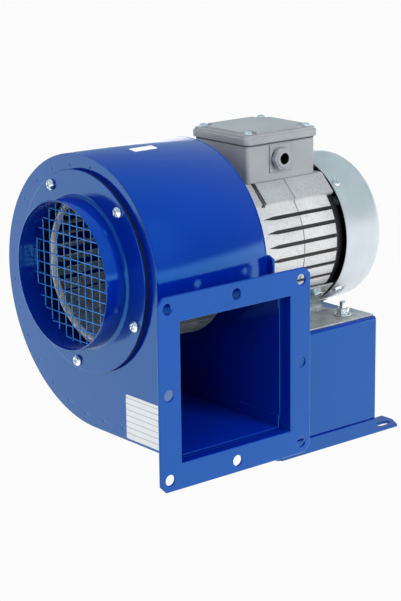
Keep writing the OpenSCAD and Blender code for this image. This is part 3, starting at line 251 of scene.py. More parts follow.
def bevel(ob, width, segments=2, degrees=30):
    """Rounds the edges that are sharper than an angle."""
    use(ob, "BEVEL", width=width, segments=segments, limit_method="ANGLE",
        angle_limit=math.radians(degrees), use_clamp_overlap=False)


def cut(ob, tool):
    """Cuts one object with another, and removes the tool."""
    use(ob, "BOOLEAN", object=tool, operation="DIFFERENCE", solver="EXACT")
    bpy.data.objects.remove(tool, do_unlink=True)


def join(obs, name):
    """Makes one object of several."""
    pick()
    for o in obs:
        o.select_set(True)
    bpy.context.view_layer.objects.active = obs[0]
    bpy.ops.object.join()
    obs[0].name = name
    return obs[0]


def copies(ob, places):
    """Copies of an object, each with its own mesh, at the given matrices; the model itself goes."""
    out = []
    for m in places:
        pick(ob)
        bpy.ops.object.duplicate(linked=False)
        c = bpy.context.view_layer.objects.active
        c.matrix_world = m @ ob.matrix_world
        out.append(c)
    bpy.data.objects.remove(ob, do_unlink=True)
    return out


def finish(ob, name, body, material, stands_for=(), smooth=32):
    """Names a piece, applies its place to its mesh, and gives it its finish and its body."""
    pick(ob)
    bpy.ops.object.transform_apply(location=True, rotation=True, scale=True)
    bpy.ops.object.shade_smooth_by_angle(angle=math.radians(smooth))
    # Large flat faces square to an axis stay flat shaded, so that no round beside them bends them
    for face in ob.data.polygons:
        if len(face.vertices) > 4 and max(abs(v) for v in face.normal) > 0.9999:
            face.use_smooth = False
    ob.name = name
    ob.data.name = name
    ob.data.materials.clear()
    ob.data.materials.append(material)
    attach(ob, body)
    if stands_for:
        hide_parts(*stands_for)


def turned(profile, steps, closed=False):
    """A turned shape about the shaft: a circle is drawn out from ring to ring.
    The profile holds radius and distance along the shaft, in millimetres."""
    pick()
    centre = at(0, 0, 0)
    r0, y0 = profile[0]
    bpy.ops.mesh.primitive_circle_add(
        vertices=steps, radius=r0 / 1000, fill_type="NOTHING",
        location=centre + Vector((0, y0 / 1000, 0)), rotation=(math.pi / 2, 0, 0))
    ob = bpy.context.view_layer.objects.active
    edit(ob, "EDGE")
    if not closed:
        bpy.ops.mesh.edge_face_add()
        bpy.ops.mesh.select_mode(type="EDGE")
    last = (r0, y0)
    for r, y in profile[1:] + ([profile[0]] if closed else []):
        bpy.ops.mesh.extrude_edges_move(TRANSFORM_OT_translate={
            "value": (0, (y - last[1]) / 1000, 0), "orient_type": "GLOBAL"})
        s = r / last[0]
        if abs(s - 1) > 1e-6:
            bpy.ops.transform.resize(value=(s, 1, s), orient_type="GLOBAL",
                                     center_override=centre + Vector((0, y / 1000, 0)))
        last = (r, y)
    if not closed:
        bpy.ops.mesh.edge_face_add()
    bpy.ops.mesh.select_all(action="SELECT")
    bpy.ops.mesh.remove_doubles(threshold=1e-6)
    bpy.ops.mesh.normals_make_consistent(inside=False)
    pick(ob)
    return ob


def block(x, y, z):
    """A block whose reach in x, y and z is each given as low and high."""
    pick()
    a, b = at(x[0], y[0], z[0]), at(x[1], y[1], z[1])
    bpy.ops.mesh.primitive_cube_add(size=1, location=(a + b) / 2)
    ob = bpy.context.view_layer.objects.active
    ob.scale = b - a
    bpy.ops.object.transform_apply(location=True, rotation=False, scale=True)
    return ob


def node_copy(node, round_to=0.0, segments=2, degrees=30):
    """A copy of a carried-over node, merged, its flat faces joined and its edges rounded."""
    src = frame["nodes"][node]
    ob = bpy.data.objects.new(node + "_piece", src.data.copy())
    bpy.context.scene.collection.objects.link(ob)
    edit(ob, "VERT")
    bpy.ops.mesh.remove_doubles(threshold=2e-6)
    bpy.ops.mesh.dissolve_limited(angle_limit=math.radians(0.4), delimit=set())
    pick(ob)
    if round_to:
        bevel(ob, round_to, segments, degrees)
    return ob


# Finishes


def node(tree, kind, inputs=(), links=(), **settings):
    """Adds one shader node with its settings, input values and links."""
    n = tree.nodes.new(kind)
    for k, v in settings.items():
        setattr(n, k, v)
    for k, v in dict(inputs).items():
        n.inputs[k].default_value = v
    for k, source in dict(links).items():
        tree.links.new(source, n.inputs[k])
    return n


def cells(size):
    """The scale of a pattern whose cells are so many millimetres wide."""
    return 1000 / size


def bands(apart):
    """The scale of a wave pattern whose lines are so many millimetres apart."""
    return 1000 * math.tau / 20 / apart


def material(name, base, metallic=0.0, roughness=0.4, **sockets):
    """A new material, its node tree, its shader and its Object coordinates."""
    m = bpy.data.materials.new(name)
    m.use_nodes = True
    t = m.node_tree
    s = t.nodes["Principled BSDF"]
    s.inputs["Base Color"].default_value = base
    s.inputs["Metallic"].default_value = metallic
    s.inputs["Roughness"].default_value = roughness
    for k, v in sockets.items():
        s.inputs[k.replace("_", " ")].default_value = v
    c = node(t, "ShaderNodeTexCoord").outputs["Object"]
    return m, t, s, c


def shade(colour, k):
    """A colour made lighter or darker."""
    return (min(colour[0] * k, 1), min(colour[1] * k, 1), min(colour[2] * k, 1), 1)


def colours(tree, value, stops):
    """A value turned to colours, with stops that hold a place and a colour."""
    n = node(tree, "ShaderNodeValToRGB", links={"Fac": value})
    e = n.color_ramp.elements
    while len(e) < len(stops):
        e.new(0.5)
    for i, (place, colour) in enumerate(stops):
        e[i].position = place
        e[i].color = colour if len(colour) == 4 else (*colour, 1)
    return n.outputs["Color"]


def mottle(t, s, value, stops):
    """Colours a finish by a pattern."""
    t.links.new(colours(t, value, stops), s.inputs["Base Color"])


def vary_gloss(t, s, value, low, high):
    """Varies the roughness of a finish by a pattern."""
    rough = node(t, "ShaderNodeMapRange", {"To Min": low, "To Max": high}, {"Value": value})
    t.links.new(rough.outputs["Result"], s.inputs["Roughness"])


def grain(t, s, height, strength, distance):
    """Gives a finish a fine relief."""
    b = node(t, "ShaderNodeBump", {"Strength": strength, "Distance": distance}, {"Height": height})
    t.links.new(b.outputs["Normal"], s.inputs["Normal"])


def coords(m):
    """The Object coordinates that a material already has."""
    return next(n for n in m.node_tree.nodes if n.bl_idname == "ShaderNodeTexCoord").outputs["Object"]


def from_origin(t, c):
    """The place on a piece in millimetres from the shaft and the front plate's face."""
    out = node(t, "ShaderNodeVectorMath", {1: at(0, 0, 0)}, {0: c}, operation="SUBTRACT")
    out = node(t, "ShaderNodeVectorMath", {1: (1000.0, 1000.0, 1000.0)}, {0: out.outputs["Vector"]},
               operation="MULTIPLY")
    return node(t, "ShaderNodeSeparateXYZ", links={"Vector": out.outputs["Vector"]}).outputs


def far(t, c, axis, centre):
    """The distance in millimetres from a line along one axis through a place in the part's frame."""
    flat = node(t, "ShaderNodeVectorMath", {1: centre}, {0: c}, operation="SUBTRACT")
    keep = [0.0 if k == axis else 1000.0 for k in "xyz"]
    flat = node(t, "ShaderNodeVectorMath", {1: keep}, {0: flat.outputs["Vector"]}, operation="MULTIPLY")
    return node(t, "ShaderNodeVectorMath", links={0: flat.outputs["Vector"]},
                operation="LENGTH").outputs["Value"]


def both(t, a, b):
    """One where two masks are both one."""
    return node(t, "ShaderNodeMath", links={0: a, 1: b}, operation="MULTIPLY").outputs["Value"]


def past(t, value, limit):
    """One where a value lies past a limit."""
    return node(t, "ShaderNodeMath", {1: limit}, {0: value}, operation="GREATER_THAN").outputs["Value"]


def between(t, value, low, high, soft=0.15):
    """One where a value lies between two limits, and nothing elsewhere."""
    up = node(t, "ShaderNodeMapRange", {"From Min": low - soft, "From Max": low + soft},
              {"Value": value})
    down = node(t, "ShaderNodeMapRange", {"From Min": high + soft, "From Max": high - soft},
                {"Value": value})
    return both(t, up.outputs["Result"], down.outputs["Result"])


def lay_marks_and_shade(m, mask, colour):
    """Lays a colour that isn't metal over a finish where a mask is one, for marks and for painted
    shade.
    """
    t = m.node_tree
    s = t.nodes["Principled BSDF"]
    under = s.inputs["Base Color"].links[0].from_socket
    over = node(t, "ShaderNodeMix", {"B": colour}, {"Factor": mask, "A": under}, data_type="RGBA")
    t.links.new(over.outputs["Result"], s.inputs["Base Color"])
    metal = s.inputs["Metallic"]
    if metal.default_value > 0:
        clear = node(t, "ShaderNodeMath", {0: 1.0}, {1: mask}, operation="SUBTRACT")
        left = node(t, "ShaderNodeMath", {1: metal.default_value}, {0: clear.outputs["Value"]},
                    operation="MULTIPLY")
        if metal.links:
            t.links.new(metal.links[0].from_socket, left.inputs[1])
        t.links.new(left.outputs["Value"], metal)
    return m


def powder_coat(name, blue):
    # Gloss polyester powder coat on steel: an even, deep colour with the slight
    # orange peel of a melted coat, about 3 mm from hump to hump, and a hard gloss
    # whose sheen is tinted blue
    m, t, s, c = material(name, blue, roughness=0.13, IOR=1.75, Specular_Tint=(0.12, 0.68, 1.0, 1.0))
    cloud = node(t, "ShaderNodeTexNoise", {"Scale": cells(71.4), "Detail": 3.0}, {"Vector": c})
    mottle(t, s, cloud.outputs["Fac"], [(0.3, shade(blue, 0.92)), (0.7, shade(blue, 1.08))])
    peel = node(t, "ShaderNodeTexNoise", {"Scale": cells(3.03), "Detail": 1.0}, {"Vector": c})
    grain(t, s, peel.outputs["Fac"], 0.05, 0.0006)
    return m


def satin_paint(name, colour, spray_size, rough, metallic=0.0, strength=0.12):
    # Sprayed satin paint on a casting or drawn sheet: fine sprayed grain,
    # drawn about 1 mm wide so that it shows
    m, t, s, c = material(name, colour, metallic=metallic, roughness=rough)
    cloud = node(t, "ShaderNodeTexNoise", {"Scale": cells(45.5), "Detail": 4.0}, {"Vector": c})
    mottle(t, s, cloud.outputs["Fac"], [(0.3, shade(colour, 0.88)), (0.7, shade(colour, 1.1))])
    spray = node(t, "ShaderNodeTexNoise", {"Scale": cells(spray_size), "Detail": 2.0}, {"Vector": c})
    grain(t, s, spray.outputs["Fac"], strength, 0.0004)
    vary_gloss(t, s, cloud.outputs["Fac"], rough - 0.06, rough + 0.08)
    return m


def bored_paint(name, colour):
    # The terminal box's paint, with the gland's bore in its own black shadow and
    # the two thin parting lines at the sides of the gland's panel
    m = satin_paint(name, colour, 1.0, 0.4)
    t, c = m.node_tree, coords(m)
    x, y, z = from_origin(t, c)
    panel = both(t, between(t, x, *PANEL_X), between(t, z, *PANEL_Z))
    for place in PANEL_LINES:
        line = between(t, y, place - PANEL_LINE_HALF, place + PANEL_LINE_HALF, 0.08)
        lay_marks_and_shade(m, both(t, line, panel), linear("#3A3C3E"))
    # A distance is never under nothing, so the lower limit leaves the middle in
    bore = between(t, far(t, c, "x", at(0, GLAND_Y, GLAND_Z)), -1.0, GLAND_BORE, 0.1)
    return lay_marks_and_shade(m, both(t, bore, past(t, x, BOX_NEAR_SIDE)), linear("#060607"))


def galvanised(name):
    # Hot dipped zinc on sheet: spangle crystals about 6 mm across, each with its
    # own grey and its own gloss
    base = linear("#A8ADAD")
    m, t, s, c = material(name, base, metallic=0.45, roughness=0.34)
    crystal = node(t, "ShaderNodeTexVoronoi", {"Scale": cells(6.25), "Randomness": 1.0}, {"Vector": c})
    own = node(t, "ShaderNodeSeparateColor", links={"Color": crystal.outputs["Color"]})
    mottle(t, s, own.outputs["Red"], [(0.0, shade(base, 0.78)), (1.0, shade(base, 1.12))])
    vary_gloss(t, s, own.outputs["Green"], 0.26, 0.48)
    fine = node(t, "ShaderNodeTexNoise", {"Scale": cells(1.43), "Detail": 2.0}, {"Vector": c})
    grain(t, s, fine.outputs["Fac"], 0.08, 0.0004)
    return m


def cast_aluminium(name):
    # Die cast aluminium, left bare: a bright grainy skin with darker pits and flow
    # marks about 22 mm long, its coarsest grains drawn 1.6 mm wide so that they show
    base = linear("#C2C1C0")
    m, t, s, c = material(name, base, metallic=0.35, roughness=0.42)
    skin = node(t, "ShaderNodeTexNoise", {"Scale": cells(1.613), "Detail": 5.0, "Roughness": 0.8},
                {"Vector": c})
    flow = node(t, "ShaderNodeTexNoise", {"Scale": cells(22.2), "Detail": 3.0}, {"Vector": c})
    flow = node(t, "ShaderNodeMath", {1: 0.25}, {0: flow.outputs["Fac"]}, operation="MULTIPLY")
    pits = node(t, "ShaderNodeMath", links={0: skin.outputs["Fac"], 1: flow.outputs["Value"]},
                operation="ADD")
    mottle(t, s, pits.outputs["Value"],
           [(0.38, shade(base, 0.45)), (0.54, shade(base, 0.88)), (0.74, shade(base, 1.12))])
    vary_gloss(t, s, skin.outputs["Fac"], 0.34, 0.55)
    grain(t, s, skin.outputs["Fac"], 0.45, 0.0008)
    return m


def grooved_casting(name):
    # The same cast skin, with painted shade: darker on the flat pads at the top, and dark in the
    # grooves at the body's corners, in the seam round it and in the slot across the pads
    m = cast_aluminium(name)
    t, c = m.node_tree, coords(m)
    x, y, z = from_origin(t, c)
    r = far(t, c, "y", at(0, 0, 0))
    skin = t.nodes["Principled BSDF"].inputs["Base Color"]
    # Painted shade: the flat pads at the top are multiplied darker
    pad_shade = node(t, "ShaderNodeMix", {"B": (0.7, 0.7, 0.72, 1)},
                {"Factor": past(t, z, PAD_LOW), "A": skin.links[0].from_socket},
                data_type="RGBA", blend_type="MULTIPLY")
    t.links.new(pad_shade.outputs["Result"], skin)
    # The turn round the shaft, counted in ribs: a groove lies where its fraction is a half
    turn = node(t, "ShaderNodeMath", links={0: z, 1: x}, operation="ARCTAN2")
    turn = node(t, "ShaderNodeMath", {1: BODY_CORNERS / math.tau}, {0: turn.outputs["Value"]},
                operation="MULTIPLY")
    turn = node(t, "ShaderNodeMath", links={0: turn.outputs["Value"]}, operation="FRACT")
    half = (GROOVE_W / 2 + 0.08) / (math.tau * BODY_R / BODY_CORNERS)
    groove = between(t, turn.outputs["Value"], 0.5 - half, 0.5 + half, 0.003)
    # The painted shade reaches a little past the faces that it darkens
    bottom, seam = BODY_R - GROOVE_DEPTH, BODY_R - SEAM_DEPTH
    shade_black = linear("#1C1918")
    # Painted shade: black in the seam round the body, grey on the grooves' walls and black at their
    # bottoms
    lay_marks_and_shade(m, between(t, r, seam - 0.3, seam + 0.35, 0.06), shade_black)
    lay_marks_and_shade(m, both(t, groove, between(t, r, bottom - 0.3, RIB_R, 0.05)), linear("#6A6663"))
    lay_marks_and_shade(m, between(t, r, bottom - 0.3, bottom + 0.5, 0.1), shade_black)
    # Painted shade: dark in the slot across the pads
    slot = both(t, between(t, y, *SLOT_Y), between(t, r, *SLOT_R))
    return lay_marks_and_shade(m, both(t, slot, past(t, z, SLOT_LOW)), linear("#37312F"))


def bright_zinc(name, metallic=0.92):
    # Bright zinc plated steel, as on screws: near mirror with cloudy plating, 2.5 mm
    # from cloud to cloud, and duller where little of it is metal, as on a pressed ring
    base = linear("#DDE0E2")
    m, t, s, c = material(name, base, metallic=metallic, roughness=0.2)
    cloud = node(t, "ShaderNodeTexNoise", {"Scale": cells(2.5), "Detail": 3.0}, {"Vector": c})
    mottle(t, s, cloud.outputs["Fac"], [(0.3, shade(base, 0.72)), (0.7, shade(base, 1.15))])
    vary_gloss(t, s, cloud.outputs["Fac"], 0.12, 0.34)
    grain(t, s, cloud.outputs["Fac"], 0.1, 0.0002)
    return m


def turned_steel(name, tone="#8E9294"):
    # Turned and ground steel or brass: fine rings round the shaft, drawn 2.2 mm
    # apart so that they show
    base = linear(tone)
    m, t, s, c = material(name, base, metallic=1.0, roughness=0.3)
    lines = node(t, "ShaderNodeTexWave", {"Scale": bands(2.19), "Distortion": 0.6, "Detail": 2.0},
                 {"Vector": c}, bands_direction="Y")
    mottle(t, s, lines.outputs["Fac"], [(0.0, shade(base, 0.8)), (1.0, shade(base, 1.1))])
    grain(t, s, lines.outputs["Fac"], 0.1, 0.0002)
    return m


def foam_rubber(name):
    # Closed cell foam and seal rubber: matt black with cells about 0.8 mm wide
    base = linear("#141517")
    m, t, s, c = material(name, base, roughness=0.85)
    foam = node(t, "ShaderNodeTexVoronoi", {"Scale": cells(0.833)}, {"Vector": c})
    mottle(t, s, foam.outputs["Distance"], [(0.0, shade(base, 1.6)), (0.7, shade(base, 0.6))])
    grain(t, s, foam.outputs["Distance"], 0.4, 0.0003)
    return m


def moulded(name, tone, rough=0.45):
    # Injection moulded plastic or rubber: an even colour with a fine spark eroded
    # grain, drawn about 1 mm wide so that it shows
    base = linear(tone)
    m, t, s, c = material(name, base, roughness=rough)
    spark = node(t, "ShaderNodeTexNoise", {"Scale": cells(1.11), "Detail": 2.0}, {"Vector": c})
    mottle(t, s, spark.outputs["Fac"], [(0.3, shade(base, 0.85)), (0.7, shade(base, 1.15))])
    grain(t, s, spark.outputs["Fac"], 0.15, 0.0003)
    return m


def wound_copper(name):
    # Varnished winding wire lying round the stator, its turns drawn 1.6 mm apart
    base = linear("#A8622E")
    m, t, s, c = material(name, base, metallic=1.0, roughness=0.35)
    wires = node(t, "ShaderNodeTexWave", {"Scale": bands(1.57), "Distortion": 3.0, "Detail": 2.0},
                 {"Vector": c}, bands_direction="Y")
    mottle(t, s, wires.outputs["Fac"], [(0.0, shade(base, 0.45)), (1.0, shade(base, 1.1))])
    grain(t, s, wires.outputs["Fac"], 0.6, 0.0006)
    return m


def stacked_sheets(name):
    # Punched electrical sheet, stacked along the shaft: the joints of the sheets,
    # drawn 2 mm apart so that they show
    base = linear("#5E6265")
    m, t, s, c = material(name, base, metallic=1.0, roughness=0.5)
    lines = node(t, "ShaderNodeTexWave", {"Scale": bands(1.96), "Distortion": 0.0}, {"Vector": c},
                 bands_direction="Y")
    mottle(t, s, lines.outputs["Fac"], [(0.0, shade(base, 0.6)), (1.0, shade(base, 1.1))])
    grain(t, s, lines.outputs["Fac"], 0.4, 0.0003)
    return m


def label_film(name, ruled):
    # White polyester label film, even and smooth; the large one has thin grey rules,
    # 5 mm apart
    base = linear("#E4E6E6")
    m, t, s, c = material(name, base, roughness=0.35)
    if ruled:
        parts = node(t, "ShaderNodeSeparateXYZ", links={"Vector": c})
        row = node(t, "ShaderNodeMath", {1: cells(5)}, {0: parts.outputs["Z"]}, operation="MULTIPLY")
        part = node(t, "ShaderNodeMath", links={0: row.outputs["Value"]}, operation="FRACT")
        line = node(t, "ShaderNodeMath", {1: 0.1}, {0: part.outputs["Value"]}, operation="LESS_THAN")
        mottle(t, s, line.outputs["Value"], [(0.4, base), (0.6, linear("#8C9092"))])
    else:
        cloud = node(t, "ShaderNodeTexNoise", {"Scale": cells(16.7)}, {"Vector": c})
        mottle(t, s, cloud.outputs["Fac"], [(0.3, shade(base, 0.95)), (0.7, base)])
    return m


# Each finish by the name that the pieces ask for, made by the first operator
FINISH = {}


class BLOWER_OT_finishes(bpy.types.Operator):
    """Makes every finish and gives it to the carried-over parts"""
    bl_idname = "blower.finishes"
    bl_label = "Finishes"

    def execute(self, context):
        p = context.scene.blower_paint
        FINISH.update(
            blue_paint=powder_coat("gloss_blue_powder_coat", tuple(p.blue)),
            guard=powder_coat("guard_blue_powder_coat", linear("#2C72C4")),
            galvanised=galvanised("galvanised_spangle"),
            zinc=bright_zinc("bright_zinc_plate"),
            dull_zinc=bright_zinc("dull_zinc_plate", 0.2),
            cast_aluminium=cast_aluminium("die_cast_aluminium"),
            grooved=grooved_casting("ribbed_die_cast_aluminium"),
            gland=bored_paint("gland_grey_paint", tuple(p.grey)),
            grey_paint=satin_paint("satin_grey_paint", tuple(p.grey), 1.0, 0.4),
            silver_paint=satin_paint("silver_cowl_paint", tuple(p.silver), 0.909, 0.34, 0.5, 0.16),
            black_paint=satin_paint("black_casting_paint", linear("#16181B"), 1.43, 0.42),
            rubber_black=foam_rubber("black_foam_rubber"),
            gasket_grey=moulded("grey_lid_gasket", "#56585A", 0.8),
            steel=turned_steel("turned_steel"),
            brass=turned_steel("turned_brass", "#C2A14E"),
            core_steel=stacked_sheets("stacked_core_sheets"),
            copper=wound_copper("varnished_copper_winding"),
            plastic_brown=moulded("brown_moulded_resin", "#5B3420"),
            plastic_black=moulded("black_moulded_nylon", "#1B1D1F"),
            label_white=label_film("ruled_label_film", True),
            sticker=label_film("blank_label_film", False),
        )
        # Nodes whose finish isn't simply the one that their slot names
        own = {"small_label": "sticker", "motor_frame": "grooved", "gland_body": "gland",
               "inlet_guard": "guard", "box_gasket": "gasket_grey"}
        for name, ob in frame["nodes"].items():
            ob.data.materials.clear()
            ob.data.materials.append(FINISH[own.get(name, SLOTS[name])])
        return {"FINISHED"}


# Pieces


def refined(node, edge, body="housing", segments=2, degrees=30, look=None):
    """A carried-over node with its edges rounded, which then stands for that node."""
    slot = SLOTS[node]
    finish(node_copy(node, edge, segments, degrees), node + "_finished", body,
           FINISH[look or slot], (node,))


class BLOWER_OT_sheets(bpy.types.Operator):
    """Rounds the sheet edges of the housing, pedestal and motor feet, and sinks the spot welds"""
    bl_idname = "blower.sheets"
    bl_label = "Sheet metal"

    def execute(self, context):
        sizes = context.scene.blower_sizes
        for name in ("rear_plate", "scroll_wrapper", "support_plate", "pedestal", "foot_rails",
                     "inlet_ring", "motor_feet"):
            refined(name, sizes.sheet_edge)
        refined("outlet_flange", sizes.sheet_edge * 1.6, segments=3)
        front = node_copy("front_plate")
        pick()
        bpy.ops.mesh.primitive_uv_sphere_add(
            segments=24, ring_count=16, radius=WELD_BALL / 1000, location=(0, 0, 0))
        ball = bpy.context.view_layer.objects.active
        welds = [Matrix.Translation(p) for p in self.welds(sizes.weld_pitch)]
        cut(front, join(copies(ball, welds), "dents"))
        bevel(front, sizes.sheet_edge)
        finish(front, "front_plate_finished", "housing", FINISH["blue_paint"],
               ("front_plate",))
        return {"FINISHED"}

    def welds(self, pitch):
        """The electrode's places along the front plate's edge, in front of its face."""
        y = WELD_DEPTH - WELD_BALL
        out = []
        for (x, z), edge_r, start, end in ARCS:
            r = edge_r - WELD_INSET
            run = math.radians(end - start) * r / 1000
            n = max(1, round(run / pitch))
            for i in range(n):
                a = math.radians(start + (end - start) * (i + 0.5) / n)
                out.append(at(x + r * math.cos(a), y, z + r * math.sin(a)))
        return out + [at(x, y, WELD_ROW_Z) for x in WELD_ROW_X]


class BLOWER_OT_castings(bpy.types.Operator):
    """Rounds the cast edges of the motor, its end shields, the terminal box, lid and gland"""
    bl_idname = "blower.castings"
    bl_label = "Castings"

    def execute(self, context):
        edge = context.scene.blower_sizes.cast_edge
        refined("motor_frame", edge * 0.6, look="grooved")
        refined("front_end_shield", edge)
        refined("rear_end_shield", edge * 0.7)
        refined("terminal_box", edge, segments=3, look="gland")
        refined("box_lid", edge * 1.3, segments=3, degrees=20)
        refined("gland_body", edge * 0.8, look="gland")
        return {"FINISHED"}


class BLOWER_OT_fasteners(bpy.types.Operator):
    """Chamfers the screws, bolts, nuts and washers"""
    bl_idname = "blower.fasteners"
    bl_label = "Screws and nuts"

    def execute(self, context):
        # Each with its chamfer in millimetres
        for name, edge in (
                ("ring_screws", 0.45), ("ring_nuts", 0.3), ("cowl_screws", 0.35),
                ("lid_screws", 0.35), ("foot_bolts", 0.5), ("foot_washers", 0.25),
                ("plate_studs", 0.4), ("plate_nuts", 0.35), ("face_bolts", 0.4),
                ("face_washers", 0.2)):
            refined(name, edge / 1000, degrees=25)
        return {"FINISHED"}


class BLOWER_OT_inlet(bpy.types.Operator):
    """Turns the inlet spigot with its rolled rim and root fillet, and lays the guard's wires"""
    bl_idname = "blower.inlet"
    bl_label = "Inlet spigot and guard"

    def execute(self, context):
        half = SPIGOT_WALL / 2
        rim = [(SPIGOT_BORE + half + half * math.sin(a), SPIGOT_RIM + half - half * math.cos(a))
               for a in map(math.radians, (-90, -45, 0, 45, 90))]
        foot_r = SPIGOT_BORE + SPIGOT_WALL + ROOT_FILLET
        root = [(foot_r - ROOT_FILLET * math.cos(a), RING_FACE - ROOT_FILLET * (1 - math.sin(a)))
                for a in map(math.radians, range(0, 91, 15))]
        spigot = turned([(SPIGOT_BORE, RING_FACE)] + rim + root, 160, closed=True)
        finish(spigot, "inlet_spigot_finished", "housing", FINISH["blue_paint"],
               ("inlet_spigot",))
        sizes = context.scene.blower_sizes
        pitch, wire_r = sizes.guard_pitch * 1000, sizes.guard_wire / 2
        n = int(GUARD_REACH // pitch)
        wires = []
        for k in range(-n, n + 1):
            half_length = math.sqrt(GUARD_REACH ** 2 - (k * pitch) ** 2)
            # No two neighbours bow alike, and every second one waves the other way
            bow = GUARD_BOW * math.sin(2.3 * k + 0.7)
            wave = GUARD_WAVE if k % 2 else -GUARD_WAVE
            for upright in (True, False):
                wires.append(self.wire(k * pitch, half_length, bow, wave, wire_r, upright))
        guard = join(wires, "guard")
        finish(guard, "inlet_guard_finished", "housing", FINISH["guard"],
               ("inlet_guard",), smooth=60)
        return {"FINISHED"}

    def wire(self, off, half_length, bow, wave, r, upright):
        """One wire drawn out step by step across the opening, bowed a little as pressed mesh is."""
        steps = 10
        layer = GUARD_Y + (GUARD_STEP if upright else -GUARD_STEP)
        pts = []
        for i in range(steps + 1):
            t = -1 + 2 * i / steps
            side, along = off + bow * (1 - t * t), half_length * t
            x, z = (side, along) if upright else (along, side)
            pts.append(at(x, layer + wave * math.cos(math.pi * t * 3), z))
        pick()
        bpy.ops.mesh.primitive_circle_add(
            vertices=8, radius=r, fill_type="NGON", location=pts[0],
            rotation=(0, 0, 0) if upright else (0, math.pi / 2, 0))
        ob = bpy.context.view_layer.objects.active
        edit(ob)
        for a, b in zip(pts, pts[1:]):
            bpy.ops.mesh.extrude_region_move(
                TRANSFORM_OT_translate={"value": b - a, "orient_type": "GLOBAL"})
        bpy.ops.mesh.select_all(action="SELECT")
        bpy.ops.mesh.normals_make_consistent(inside=False)
        pick(ob)
        return ob


class BLOWER_OT_impeller(bpy.types.Operator):
    """Rounds the impeller's plates and hub, and lays the rolled beads on its front ring"""
    bl_idname = "blower.impeller"
    bl_label = "Impeller"

    def execute(self, context):
        refined("impeller_front_ring", 0.0003, "rotor", look="dull_zinc")
        round_bead = [math.radians(30 * i) for i in range(12)]
        beads = [turned([(r + half * math.cos(a), y + half * math.sin(a)) for a in round_bead],
                        120, closed=True) for r, y, half in RING_BEADS]
        finish(join(beads, "beads"), "impeller_ring_beads", "rotor", FINISH["dull_zinc"])
        for name, edge in (("impeller_back_plate", 0.3), ("impeller_hub", 0.5),
                           ("hub_rivets", 0.5), ("hub_bolt", 0.4)):
            refined(name, edge / 1000, "rotor")
        return {"FINISHED"}


class BLOWER_OT_cowl(bpy.types.Operator):
    """Spins the fan cowl, presses a dimple round each screw and cuts the air slots"""
    bl_idname = "blower.cowl"
    bl_label = "Fan cowl"

    def execute(self, context):
        shell = self.spun()
        self.press_dimples(shell)
        slot = block(AIR_SLOT_R, AIR_SLOT_Y, (-AIR_SLOT_HALF, AIR_SLOT_HALF))
        edit(slot, "EDGE")
        choose_along(1)
        # A hair less than half the width, so that the round ends don't meet in a line
        bpy.ops.mesh.bevel(offset=(AIR_SLOT_HALF - 0.01) / 1000, segments=5, affect="EDGES")
        pick(slot)
        turns = [round_shaft(360 / AIR_SLOTS * k) for k in range(AIR_SLOTS)]
        cut(shell, join(copies(slot, turns), "slots"))
        finish(shell, "fan_cowl_finished", "housing", FINISH["silver_paint"],
               ("fan_cowl",), smooth=35)
        return {"FINISHED"}

    def spun(self):
        """The shell, from the inside of its dome round the rim of its mouth to the outside."""
        rise = [math.radians(a) for a in (*range(6, 90, 6), 88.5)]
        skins = []
        for off in (COWL_T, 0.0):
            r = COWL_R - off
            wall = [(r, COWL_MOUTH + COWL_FIRST_RING + COWL_RING * i) for i in range(COWL_RINGS)]
            skins.append(wall + [
                (r * math.cos(a) ** DOME_FULL, DOME_Y + (DOME_H - off) * math.sin(a) ** DOME_FULL)
                for a in rise])
        rim = [(COWL_R - COWL_T, COWL_MOUTH + COWL_RIM), (COWL_R - 0.75 * COWL_T, COWL_MOUTH),
               (COWL_R - 0.25 * COWL_T, COWL_MOUTH), (COWL_R, COWL_MOUTH + COWL_RIM)]
        return turned(skins[0][::-1] + rim + skins[1], 180)

    def press_dimples(self, shell):
        """Presses a shallow ring into the wall round each screw, and leaves the dome alone."""
        width = DIMPLE_OUT - DIMPLE_IN
        wall_end = at(0, DIMPLE_LAST_Y, 0).y
        for v in shell.data.vertices:
            for k in range(4):
                place = v.co + shell.location
                screw = on_ring(COWL_R, COWL_SCREW_TURN + 90 * k, COWL_SCREW_Y)
                d = (place - screw).length * 1000
                if DIMPLE_IN < d < DIMPLE_OUT and place.y < wall_end:
                    inward = (at(0, 0, 0) - place) * Vector((1, 0, 1))
                    depth = DIMPLE_DEPTH / 1000 * math.sin(math.pi * (d - DIMPLE_IN) / width)
                    v.co += inward.normalized() * depth


class BLOWER_OT_labels(bpy.types.Operator):
    """Cuts the two labels with rounded corners"""
    bl_idname = "blower.labels"
    bl_label = "Labels"

    def execute(self, context):
        # Each with its finish and the axis that its thickness runs along
        for name, film, through in (("rating_label", "label_white", 1), ("small_label", "sticker", 2)):
            ob = node_copy(name)
            edit(ob, "EDGE")
            choose_along(through)
            bpy.ops.mesh.bevel(offset=LABEL_CORNER / 1000, segments=5, affect="EDGES")
            finish(ob, name + "_finished", "housing", FINISH[film], (name,))
        return {"FINISHED"}


# Stage, in metres

CAMERA_PLACE = (1.1881, -0.9936, 0.5442)
CAMERA_AIM = (-0.00758, -0.01269, 0.1341)
CAMERA_ROLL = -0.734  # degrees
CAMERA_LENS = 109.77  # in millimetres, for a sensor 36 mm wide


